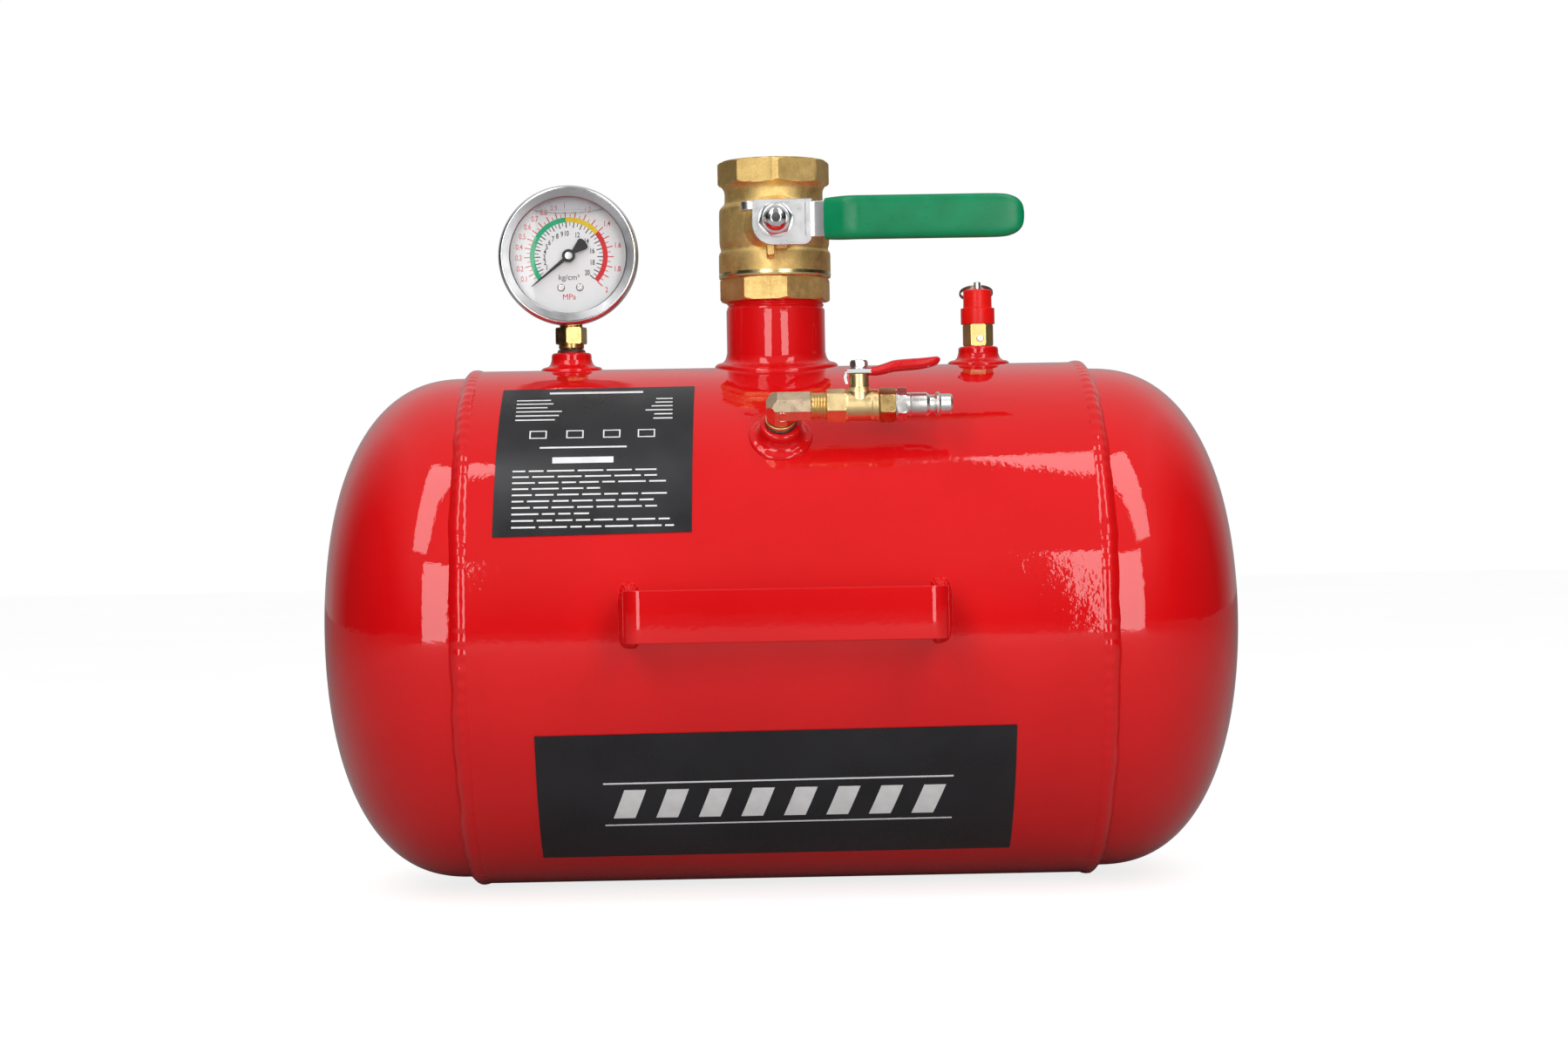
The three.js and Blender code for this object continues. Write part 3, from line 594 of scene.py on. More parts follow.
RED = enamel()
BRASS = cast_brass("cast_brass", (0.62, 0.41, 0.13), (1.0, 0.74, 0.31))
PINK_BRASS = cast_brass("forged_brass", (0.76, 0.56, 0.37), (0.88, 0.69, 0.48), (0.26, 0.34), 0.005)
DRAWN_BRASS = cast_brass("drawn_brass", (0.74, 0.54, 0.25), (0.92, 0.72, 0.38), (0.28, 0.38), 0.008)
# Brass painted darker and browner: painted shade on the gauge stem under the gauge, and a painted reflection
# of the red tank on the inlet's second hexagon.
SHADED_BRASS = cast_brass("shaded_brass", (0.44, 0.28, 0.10), (0.62, 0.43, 0.18), (0.22, 0.32), 0.006)
YELLOW_BRASS = cast_brass("yellow_brass", (0.88, 0.66, 0.22), (1.0, 0.82, 0.36), (0.32, 0.42), 0.006)
BRIGHT_BRASS = turned_metal("turned_brass", (0.88, 0.70, 0.36), (0.2, 0.3))
ZINC = zinc()
NICKEL = turned_metal("nickel_plate", (0.82, 0.80, 0.77), (0.22, 0.34), 0.3, 0.003, (1, 30, 30))
STEEL = turned_metal("polished_steel", (0.86, 0.86, 0.87), (0.06, 0.12), 0.6, 0.002, (1, 1, 1))
BRUSHED = turned_metal("brushed_steel", (0.46, 0.46, 0.47), (0.28, 0.4), 0.3, 0.004, (20, 1, 20))
CHROME = turned_metal("chromed_ball", (0.86, 0.87, 0.88), (0.05, 0.1), 1.0, 0.001, (1, 1, 1))
# This dark steel also draws the painted shade line along the gauge fluid's surface.
DARK_STEEL_AND_SHADE = turned_metal("dark_steel", (0.42, 0.39, 0.36), (0.22, 0.36), 0.5, 0.004, (1, 1, 1))
GREEN_VINYL = vinyl("green_vinyl", (0.0, 0.205, 0.075), (0.0, 0.255, 0.098))
RED_VINYL = vinyl("red_vinyl", (0.66, 0.004, 0.008), (0.76, 0.007, 0.012))
RED_PLASTIC = vinyl("red_plastic", (0.80, 0.006, 0.004), (0.88, 0.010, 0.007), (0.3, 0.4))
WHITE_PLASTIC = plain("white_plastic", (0.78, 0.77, 0.72), (0.86, 0.85, 0.81), (0.4, 0.55))
DIAL_WHITE = plain("dial_white", (0.93, 0.93, 0.94), (0.97, 0.97, 0.98), (0.45, 0.6), 5, 0.003)
# This black also draws the painted shade ring round each dial screw.
INK_AND_SHADE_BLACK = plain("ink_and_shade_black", (0.008, 0.008, 0.009), (0.02, 0.02, 0.022), (0.35, 0.5))
INK_RED = plain("ink_red", (0.70, 0.004, 0.010), (0.80, 0.008, 0.014), (0.4, 0.55))
INK_GREEN = plain("ink_green", (0.0, 0.42, 0.17), (0.0, 0.50, 0.21), (0.4, 0.55))
INK_YELLOW = plain("ink_yellow", (0.86, 0.60, 0.0), (0.95, 0.68, 0.01), (0.4, 0.55))
INK_WHITE = plain("ink_white", (0.78, 0.78, 0.78), (0.88, 0.88, 0.88), (0.35, 0.5))
RUBBER = plain("black_rubber", (0.012, 0.012, 0.012), (0.03, 0.03, 0.03), (0.5, 0.7))
SEALANT = plain("thread_sealant", (0.02, 0.016, 0.014), (0.10, 0.05, 0.04), (0.3, 0.6), 1.2, 0.05)
FILM = plain("label_film", (0.008, 0.008, 0.010), (0.016, 0.016, 0.019), (0.24, 0.36), 20, 0.004)
LENS = lens_glass()
# A pale, see-through veil over the gauge's air pocket: painted light that brightens the dial where the bezel
# shades it.
AIR_POCKET_LIGHT = plain("air_pocket_light", (0.72, 0.75, 0.82), (0.80, 0.83, 0.88), (0.1, 0.2))
shader_of(AIR_POCKET_LIGHT).inputs["Alpha"].default_value = 0.22

# The material slot that each finish belongs to, unless a piece says otherwise.
SLOT_FINISHES = {
    "red_paint": [RED],
    "brass": [BRASS, PINK_BRASS, DRAWN_BRASS, SHADED_BRASS, YELLOW_BRASS, BRIGHT_BRASS],
    "zinc_plate": [ZINC],
    "nickel_plate": [NICKEL],
    "polished_steel": [STEEL, BRUSHED],
    "chromed_ball": [CHROME],
    "dark_steel": [DARK_STEEL_AND_SHADE],
    "green_vinyl": [GREEN_VINYL],
    "red_vinyl": [RED_VINYL, RED_PLASTIC],
    "white_plastic": [WHITE_PLASTIC],
    "dial_white": [DIAL_WHITE, INK_RED, INK_GREEN, INK_YELLOW],
    "black_paint": [INK_AND_SHADE_BLACK],
    "black_rubber": [RUBBER],
    "label_film": [FILM, INK_WHITE],
    "clear_lens": [LENS, AIR_POCKET_LIGHT],
}
SLOTS = {finish.name: slot for slot, finishes in SLOT_FINISHES.items() for finish in finishes}


# ---- the pressure vessel


def shell_height(y):
    return np.sqrt(SHELL_R**2 - np.asarray(y) ** 2)


def shell():
    side = [(SHELL_R, x) for x in np.linspace(-SHELL_HALF, SHELL_HALF, 25)]
    rows = [(SHELL_R - WALL, -SHELL_HALF), *side, (SHELL_R - WALL, SHELL_HALF)]
    drum = spun(rows, 256, loop=True).along_x()
    hole = spun([(NECK_R + 0.2, 100), (NECK_R + 0.2, 140)], 96)
    add("shell", carve(drum, hole), RED, nodes=["tank_shell"])


def dome(radius, depth):
    """Rows for the end of a head: a superellipse, fuller than a plain ellipse."""
    made = []
    for i in range(45):
        turn = math.pi / 2 * i / 44
        across = max(math.cos(turn), 0) ** (2 / HEAD_POWER)
        made.append((max(radius * across, 0.01), HEAD_BEND + depth * math.sin(turn) ** (2 / HEAD_POWER)))
    return made


def heads():
    outside = dome(HEAD_R, TANK_HALF - HEAD_BEND)
    inside = dome(HEAD_R - WALL, TANK_HALF - HEAD_BEND - WALL)[::-1]
    rows = [*inside, (HEAD_R - WALL, HEAD_LAP), (HEAD_R, HEAD_LAP), (HEAD_R, 146), *outside]
    shape = spun(rows, 256)
    add("right_end", shape.along_x(), RED, nodes=["right_head"])
    add("left_end", shape.turned("Y", -90), RED, nodes=["left_head"])


def girth_weld(name, side, seed):
    """A weld run with a ripple where each drop of metal set, a little uneven in height and width."""
    profile = [(-4.9, -0.7), (-3.6, 0.15), (-2.2, 0.72), (-0.6, 1.0), (1.0, 0.9), (2.4, 0.1), (3.6, -1.2),
               (4.6, -2.5), (5.4, -3.6), (6.2, -4.0)]
    sides = 720
    around = angles(sides)
    ring = unit_ring(around)
    slow = lumps(ring, 0.16, seed)
    wide = lumps(ring, 0.1, seed + 3)
    rows = []
    for across, rise in profile:
        lag = 0.006 * across**2
        ripple = np.cos((around + lag * 0.02) * 118 + 2.5 * slow)
        crest = max(0.0, 1 - abs(across) / 5.5)
        lift = crest * (0.16 * ripple + 0.5 * slow) - 0.35
        radius = np.minimum(SHELL_R + rise + lift, BEAD_R)
        place = BEAD_X + across * (1 + 0.12 * wide) + 0.35 * wide
        rows.append(row_at(radius, around, place))
    rows += [row_at(BEAD_FOOT_R, around, place) for place in (152.6, 142.0)]
    shape = grid(rows, loop=True).turned("Y", 90 * side)
    add(name, shape, RED, nodes=[name.replace("_run", "_weld")], sharp=80)


def fillet_weld(inner, outer, climb, seed, tilt=0.0, sides=240):
    """A run of weld round a boss that stands on the shell: hollow in the middle, with a bead at its toe."""
    fall = [(0, 1), (0.07, 0.74), (0.2, 0.5), (0.42, 0.34), (0.64, 0.3), (0.84, 0.23), (0.96, 0.1), (1, -0.1)]
    around = angles(sides)
    slow = lumps(unit_ring(around), 0.5, seed)
    drops = np.cos(around * round(inner * 1.5) + 2 * slow)
    line = []
    for across, up in spline(fall, 22):
        out = inner + 0.1 + (outer - inner) * across * (1 + 0.08 * slow * across)
        rise = climb * up * (1 + 0.12 * slow) + 0.07 * drops * math.sin(math.pi * min(across, 1))
        line.append((out, rise))
    line += [(outer, -3), (inner + 0.1, -3)]
    rows = [row_at(out, around, shell_height(out * np.sin(around)) + rise) for out, rise in line]
    return grid(rows, loop=True).turned("X", tilt)


def bosses():
    places = [("gauge", GAUGE_X, 0), ("safety", SAFETY_X, 0), ("inlet", 0, INLET_TILT)]
    cup = turned_ring([(6.3, 117), (BUNG_R, 117), (BUNG_R, BUNG_TOP, 1.8), (6.3, BUNG_TOP, 0.5)])
    for seed, (name, x, tilt) in enumerate(places):
        ring = fillet_weld(BUNG_R, 15, 5.2, seed + 20, tilt).moved(x=x)
        add(name + "_boss", cup.turned("X", tilt).moved(x=x), RED, nodes=[name + "_bung"])
        add(name + "_boss_weld", ring, RED, nodes=[name + "_bung_weld"], sharp=80)


def neck():
    rows = [(20.6, 117), (NECK_R, 117), (NECK_R, 152.6), (NECK_R - 0.3, 153.4)]
    rows += thread(NECK_R - 0.35, 0.75, 2.2, NECK_SHOULDER, CAP_BOTTOM + 3)
    rows += [(22.8, CAP_BOTTOM + 3.2), (22.8, CAP_TOP - 0.4), (20.6, CAP_TOP - 0.4)]
    add("neck_pipe", spun(rows, 128, loop=True), RED, nodes=["outlet_neck"], sharp=60)
    run = fillet_weld(NECK_R, 30.2, 6.8, 31, sides=360)
    add("neck_weld_run", run, RED, nodes=["neck_weld"], sharp=80)


def handle():
    side = HANDLE_HALF - HANDLE_THICK / 2
    front = HANDLE_FRONT - HANDLE_THICK / 2
    bend = HANDLE_BEND - HANDLE_THICK / 2
    line = [(-side, -119), (-side, -130), (-side, -140), (-side, -front + bend + 2)]
    line += arc(-side + bend, -front + bend, bend, 180, 270, 10)
    line += [(x, -front) for x in np.linspace(-50, 50, 9)]
    line += arc(side - bend, -front + bend, bend, 270, 360, 10)
    line += [(side, -front + bend + 2), (side, -140), (side, -130), (side, -119)]
    bar = sweep(level(line, HANDLE_Z), box_outline(HANDLE_THICK, HANDLE_WIDTH, 0.7))
    add("handle_bar", bar, RED, nodes=["carry_handle"], sharp=50)
    for name, sign, seed in (("left", -1, 41), ("right", 1, 42)):
        add(name + "_handle_foot", foot_weld(sign * side, seed), RED,
            nodes=[name + "_handle_weld"], sharp=80)


def signed_power(values, power):
    return np.sign(values) * np.abs(values) ** power


def foot_weld(x, seed):
    """The weld all round the foot of one leg of the handle, laid in drops."""
    rows = []
    count = 160
    turn = angles(count)
    for t in np.linspace(0, 1, 9):
        spread = 1 + 0.9 * (1 - (1 - t) ** 1.8)
        depth = (1 - t) ** 1.7 * 4.6
        across = signed_power(np.cos(turn), 0.75) * (2.1 + 3.6 * (spread - 1))
        high = signed_power(np.sin(turn), 0.55) * (11.9 + 3.6 * (spread - 1))
        ring = np.stack([across / 9, high / 9, np.zeros(count)], 1)
        slow = lumps(ring, 0.5, seed)
        drops = np.cos(turn * 22 + 2 * slow)
        bulge = math.sin(math.pi * t)
        z = HANDLE_Z + high * (1 + 0.05 * slow)
        surface = -np.sqrt(SHELL_R**2 - z**2)
        y = surface - depth - bulge * (0.5 + 0.22 * drops + 0.35 * slow)
        rows.append(np.stack([x + across * (1 + 0.1 * slow), y, z], 1))
    base = rows[-1].copy()
    base[:, 1] += 3
    back = rows[0].copy()
    back[:, 1] = base[:, 1]
    return grid([*rows, base, back], loop=True)


# ---- labels


def wrap(x, degrees, radius):
    """A point at x along the tank, degrees up from its front and radius from its axis."""
    turn = np.radians(degrees)
    return np.stack([x, -radius * np.cos(turn), radius * np.sin(turn)], -1)


def patch(x0, x1, low, high, lift, skew, lean, steps):
    """A thin curved patch on the shell. Skew slopes its long edges and lean its ends."""
    bottom, top = SHELL_R + lift, SHELL_R + lift + SHEET_THICK
    sections = []
    for t in np.linspace(0, 1, steps + 1):
        left = (x0 + lean * t, low + (high - low) * t - skew)
        right = (x1 + lean * t, low + (high - low) * t + skew)
        sections.append([wrap(*left, top), wrap(*right, top), wrap(*right, bottom), wrap(*left, bottom)])
    return grid(sections)


def mm_to_degrees(length):
    return math.degrees(length / SHELL_R)


def labels():
    sheet = patch(-131.6, -41.4, 20.9, 65.1, FILM_LIFT, 0.25, 1.6, 40)
    add("data_plate_film", sheet, FILM, nodes=["data_label"], sharp=60)
    sheet = patch(-114.2, 104.4, -57.8, -21.2, FILM_LIFT, 0.35, 0.0, 40)
    add("front_film", sheet, FILM, nodes=["front_label"], sharp=60)
    add("data_plate_print", data_print(), INK_WHITE, sharp=60)
    add("front_print", front_print(), INK_WHITE, sharp=60)


def data_print():
    """Rows of plain bars where the real plate has its words, and a row of empty frames."""
    draw = random.Random(4)
    bars = []

    def bar(x, y, width, height):
        low = y - mm_to_degrees(height) / 2
        bars.append(patch(x, x + width, low, low + mm_to_degrees(height), PRINT_LIFT, 0, 0, 1))

    bar(-108, 62.6, 44, 2.0)
    for i in range(6):
        y = 59.3 - i * 1.55
        bar(-123, y, draw.uniform(14, 22), 0.9)
        width = draw.uniform(7, 14)
        bar(-50 - width, y, width, 0.9)
    for x in (-116, -99, -82, -66):
        for dy in (2.4, -2.4):
            bar(x, 46.6 + mm_to_degrees(dy), 8, 0.6)
        bar(x, 46.6, 0.6, 4.8)
        bar(x + 7.4, 46.6, 0.6, 4.8)
    bar(-111, 42.6, 40, 1.0)
    bar(-105, 39.0, 28, 3.6)
    for i in range(10):
        y = 36.2 - i * 1.5
        width = draw.uniform(64, 74) if i % 4 != 3 else draw.uniform(28, 50)
        x = -123
        while width > 4:
            word = min(width, draw.uniform(5, 13))
            bar(x, y, word, 0.8)
            x += word + 1.6
            width -= word + 1.6
    return total(bars)


def front_print():
    """A plain row of slanted bars between two lines."""
    made = [patch(-84, 76, low, low + 0.4, PRINT_LIFT, 0.25, 0, 1) for low in (-33.4, -45.6)]
    for i in range(8):
        x = -80 + i * 19.6
        made.append(patch(x, x + 10, -43.4, -35.2, PRINT_LIFT, 0, 5.5, 6))
    return total(made)


# ---- the main valve


def smooth_min(a, b):
    """The smaller of two radii, with the edge between them rounded a little."""
    soft = 0.2
    gap = np.clip(0.5 + 0.5 * (b - a) / soft, 0, 1)
    return b * (1 - gap) + a * gap - soft * gap * (1 - gap)


def octagon_rows(bottom, top, turn, low_out, high_out, slope):
    """The octagon end of a casting: its corners are turned to short cones above and below."""
    flat = polygon_radius(8, 27.5, turn)
    steps = [0, 0.25, 0.5, 0.75, 1.0, 1.5]
    middle = np.linspace(bottom + 2, top - 2, 5)
    made = []
    for h in [*(bottom + s for s in steps), *middle, *(top - s for s in steps[::-1])]:

        def radius(around, h=h):
            under = np.full_like(around, low_out + (h - bottom) * slope)
            over = np.full_like(around, high_out + (top - h) * slope)
            return smooth_min(smooth_min(flat(around), under), over)

        made.append((radius, h))
    return made


def parting_line(shape, *places):
    """Raises a fine ridge down a casting, at angles in degrees, where the halves of its mould met."""
    x, y = shape.points[:, 0], shape.points[:, 1]
    turn = np.degrees(np.arctan2(y, x))
    near = sum(np.exp(-((((turn - place + 180) % 360 - 180) / 0.7) ** 2)) for place in places)
    spread = 1 + 0.006 * near * (np.hypot(x, y) > NECK_R)
    return Shape(shape.points * np.stack([spread, spread, np.ones_like(spread)], 1), shape.faces)


def on_stem(shape):
    return shape.to_front().moved(z=STEM_Z)


def end_cap():
    rows = [(22.9, CAP_BOTTOM)]
    rows += octagon_rows(CAP_BOTTOM, CAP_TOP, CAP_TURN, 26.3, 26.5, 1.4)
    rows += [(25.4, CAP_TOP + 0.12), (26.6, CAP_TOP + 0.3), (26.9, CAP_TOP + 0.6), (26.7, CAP_TOP + 1.3)]
    rows += [(24.2, CAP_TOP + 1.4), (24.2, 181), (20.5, 181), (20.5, 175)]
    rows += [(15.5, 175), (15.5, 169), (22.9, 169)]
    shape = parting_line(spun(rows, 256, loop=True), -94, 86)
    add("end_cap", shape, BRASS, nodes=["valve_end_cap"])
    edge = [(27.3, CAP_TOP + 0.5, 0.3), (27.5, CAP_TOP + 1.6, 0.6), (27.4, 171.1)]
    add("collar_edge", turned_ring([(25, CAP_TOP + 0.5), *edge, (25, 171.1)], 192), BRIGHT_BRASS)


def valve_body():
    rows = [(24.9, COLLAR_BOTTOM), (26.9, COLLAR_BOTTOM + 0.05), (27.4, COLLAR_BOTTOM + 0.6)]
    rows += [(27.4, h) for h in np.linspace(171, 179, 5)]
    rows += [(27.35, 180), (27.1, 180.9), (26.6, 181.5), (26.3, 182.2), (26.35, 183)]
    belly = [(26.8, 184.5), (27, 187), (27, 192), (27, 197), (26.9, 201.4), (26.4, 202.8), (25.5, 203.9)]
    waist = [(24.6, 204.8), (24.2, 206), (24.1, 208), (24.1, 210), (24.3, 211.4), (24.9, 212.7)]
    waist.append((25.6, SOCKET_BOTTOM))
    rows += smooth_rows(belly) + smooth_rows(waist)
    rows += octagon_rows(SOCKET_BOTTOM + 0.3, VALVE_TOP - 0.5, SOCKET_TURN, 26.6, 26.6, 1.2)
    rows += [(25.6, VALVE_TOP - 0.12), (25.2, VALVE_TOP), (23.4, VALVE_TOP), (22.6, VALVE_TOP - 0.9)]
    rows += thread(22.4, 0.9, 2.3, SOCKET_BOTTOM, VALVE_TOP - 1.2)[::-1]
    rows += [(21.4, 213), (15.5, 213), (15.5, 210), (20.3, 210)]
    rows += [(20.3, 199.6), (22, 198.6), (22, 182), (24.9, 182)]
    body = parting_line(spun(rows, 256, loop=True), -92, 88)
    boss = [(6.9, 23.5), (15, 23.5), (12.6, 25.8, 1.5), (11, 28.5, 2), (11, 38, 0.9), (6.9, 38, 0.4)]
    stop = [(-4.3, 175.8, 1.2), (-0.6, 175.8, 1.2), (-0.6, 182, 0.4), (-4.3, 182, 0.4)]
    lug = plate(closed_outline(stop, 3), 24, 46.2, 0.5).to_front()
    core = spun([(14, 20), (14.5, 23.6), (12, 26)], 64)
    shape = carve(body, lug, on_stem(core), operation="UNION")
    add("valve_casting", shape + on_stem(turned_ring(boss)), BRASS, nodes=["valve_body"])


def smooth_rows(points):
    return list(spline(points, len(points) * 2))


def main_valve():
    end_cap()
    valve_body()
    seat = turned_ring([(16, 17), (16, 14.7), (20, 8.05), (20, 17)])
    add("upper_ball_seat", seat.moved(z=STEM_Z), WHITE_PLASTIC, nodes=["upper_seat"])
    lower = seat.turned("X", 180).moved(z=STEM_Z)
    add("lower_ball_seat", lower, WHITE_PLASTIC, nodes=["lower_seat"])
    bore = spun([(15, -30), (15, 30)], 96).along_x()
    add("main_ball", carve(globe(20.95), bore).moved(z=STEM_Z), CHROME, "main_lever_set",
        nodes=["valve_ball"], sharp=30)
    shank = turned_ring([(5.3, 34.4), (6.8, 34.4), (6.8, 38.4), (5.3, 38.4)], 64)
    gland = nut(8.95, 38.4, 44, 0, 1.0, 5.3) + shank
    add("gland_hexagon", on_stem(gland), BRIGHT_BRASS, nodes=["gland_nut"])
    stem = cylinder(5, 17, 46, 64) + turned_solid([(3.8, 45), (3.8, 56), (0, 56.5)], 48)
    add("main_stem", on_stem(stem), ZINC, "main_lever_set", nodes=["valve_stem"])


def globe(radius, rings=40, sides=80):
    rows = []
    for i in range(rings + 1):
        turn = math.pi * i / rings
        rows.append((max(radius * math.sin(turn), 0.01), -radius * math.cos(turn)))
    return spun(rows, sides)


def lever_plate_outline():
    line = [(-11.2, 7.5), (-11.2, -2)]
    line += arc(-1.2, -2, 10, 180, 268, 14)
    line += [(6, -12), (13.6, -12)]
    line += arc(13.6, -8.2, 3.8, -80, -20, 6)
    line += [(17.8, -6), (17.8, 9.9)]
    line += arc(-8.8, 7.5, 2.4, 90, 170, 6)
    return line


def main_lever():
    body = "main_lever_set"
    face = plate(lever_plate_outline(), LEVER_DEPTH - 1.5, LEVER_DEPTH + 1.5, 0.45).to_front()
    line = [(14, -48), (16.4, -48), (18, -48.15), (19.5, -48.7), (22, -49.8), (28, -52.45), (34, -55.1)]
    line += [(36, -55.8), (38, -56), (60, -56), (90, -56), (113, -56)]
    arm = sweep(level(line, 0), box_outline(3, 17, 0.5))
    line = [(-9, -48), (-11.5, -48), (-13.4, -47.7), (-14.6, -46.8), (-15, -45.4), (-15, -42.2)]
    tab = sweep(level(line, 6.9), box_outline(3, 4.4, 0.6))
    line = [(-48, -9), (-48, -10.2), (-47.5, -11.2), (-46.2, -11.5), (-42.2, -11.5)]
    stop = sweep([(2.7, y, z) for y, z in line], box_outline(5.6, 3, 0.5), up=(0, 0.35, 1))
    shape = (face + arm + tab + stop).moved(z=STEM_Z)
    add("lever_plate", shape, ZINC, body, nodes=["main_lever"], sharp=40)
    add("lever_grip_sleeve", green_grip(), GREEN_VINYL, body, nodes=["lever_grip"], sharp=60)
    crown = [(6.3, 50.6), (6.15, 55.2, 0.4), (6.1, 57.4, 2.6), (4.6, 60.4, 2.4), (2.4, 61.3, 1.5)]
    dome = turned_solid([*crown, (0, 61.4)])
    seat = nut(8.3, 49.8, 54.6, 12, 1.5, low=0.78)
    collar = turned_solid([(8.4, 49.6, 0.2), (8.4, 50.3, 0.3), (0, 50.4)], 96)
    add("dome_nut", on_stem(dome), STEEL, body, nodes=["lever_nut"], slot="zinc_plate", sharp=40)
    add("dome_nut_seat", on_stem(seat + collar), ZINC, body, sharp=40)


def green_grip():
    """The dipped sleeve: a flat bar section with round edges, bent in near the plate and blunt at the end."""
    line = [(24, -50.9), (27, -52.1), (30.5, -53.6), (34, -55), (38, -55.9), (44, -56), (60, -56), (80, -56),
            (100, -56), (108, -56), (111.6, -56), (114.2, -56), (116, -56), (117.1, -56), (117.6, -56)]
    height = [19.6, 20.2, 20.6, 20.8, 20.8, 20.8, 20.8, 20.8, 20.8, 20.2, 18.6, 16.2, 12.8, 8.6, 3.0]
    thick = [6.6, 7.2, 7.6, 7.9, 8, 8, 8, 8, 8, 7.9, 7.5, 6.8, 5.6, 3.8, 1.2]
    sections = []
    for (x, y), tall, deep in zip(line, height, thick):
        slope = math.radians(24) if x < 36 else 0
        loop = []
        for across, up in super_outline(deep, tall, 3.6, 48):
            loop.append((x + across * math.sin(slope), y + across * math.cos(slope), STEM_Z + up - 0.2))
        sections.append(loop)
    return refined(sections)


def refined(sections):
    """Adds smooth sections between the given ones, three in each gap."""
    sections = np.asarray(sections, float)
    count = (len(sections) - 1) * 4 + 1
    made = [spline(sections[:, j], count) for j in range(sections.shape[1])]
    return grid(np.stack(made, 1))


# ---- the pressure gauge


def dial_angle(value):
    return 218.5 - 12.44 * value if value <= 10 else 94 - 13.65 * (value - 10)


def dial_place(radius, degrees):
    turn = math.radians(degrees)
    return radius * math.cos(turn), radius * math.sin(turn)


def band(inner, outer, start, end):
    outline = arc(0, 0, outer, start, end, 40) + arc(0, 0, inner, end, start, 40)
    return slab(outline, DIAL_FACE, DIAL_PRINT)


def tick(inner, outer, degrees, width):
    corners = [(inner, -width / 2), (outer, -width / 2), (outer, width / 2), (inner, width / 2)]
    return slab(corners, DIAL_FACE, DIAL_PRINT).turned("Z", degrees)


def lettering(text, height, x, y, weight=0.0, narrow=1.0):
    """Upright text on the dial, as a thin mesh with its middle at x and y."""
    curve = bpy.data.curves.new("text", "FONT")
    curve.body = text
    curve.size = height / FIGURE_SHARE
    curve.extrude = 0.02
    curve.offset = weight
    curve.align_x = "CENTER"
    curve.align_y = "CENTER"
    item = placed("text", curve)
    made = evaluated(item)
    bpy.data.objects.remove(item)
    bpy.data.curves.remove(curve)
    middle = (made.points.min(0) + made.points.max(0)) / 2
    return Shape(made.points - middle, made.faces).scaled(x=narrow).moved(x, y, DIAL_PRINT)


def on_gauge(shape):
    return shape.to_front().moved(GAUGE_X, 0, GAUGE_Z)


def gauge():
    wall = [(29.5, -10.5, 1), (31.5, -8.6, 2), (31.5, 11), (30.4, 11), (30.4, -9)]
    case = turned_solid(wall, 160)
    add("case", on_gauge(case), STEEL, nodes=["gauge_case"])
    rim = [(31.7, 8), (33.2, 8, 0.4), (34, 9.4, 1), (34, 15.2, 2), (33.1, 17.6, 1.2), (31.9, 18, 0.6)]
    cone = [(31.9, 17.95), (28.6, 16.9, 0.3), (27.9, 16.35, 0.2), (28.6, 16.3), (31.7, 16.4)]
    add("bezel_rim", on_gauge(turned_ring([*rim, (31.7, 16.5)], 192)), STEEL,
        nodes=["gauge_bezel"])
    add("bezel_cone", on_gauge(turned_ring(cone, 192)), BRUSHED)
    lens = turned_solid([(31.1, 13.9), (31.1, 16.2, 0.3)], 128)
    add("lens", on_gauge(lens), LENS, nodes=["gauge_lens"])
    dial()
    pointer()
    fluid()
    socket()
    plug = turned_solid([(2.9, 29), (2.9, 31.8), (4.2, 31.9, 0.4), (4.2, 33.4, 0.6), (0, 33.7)], 64)
    add("fill_plug", plug.moved(GAUGE_X, 0, GAUGE_Z), RUBBER, nodes=["gauge_fill_plug"])


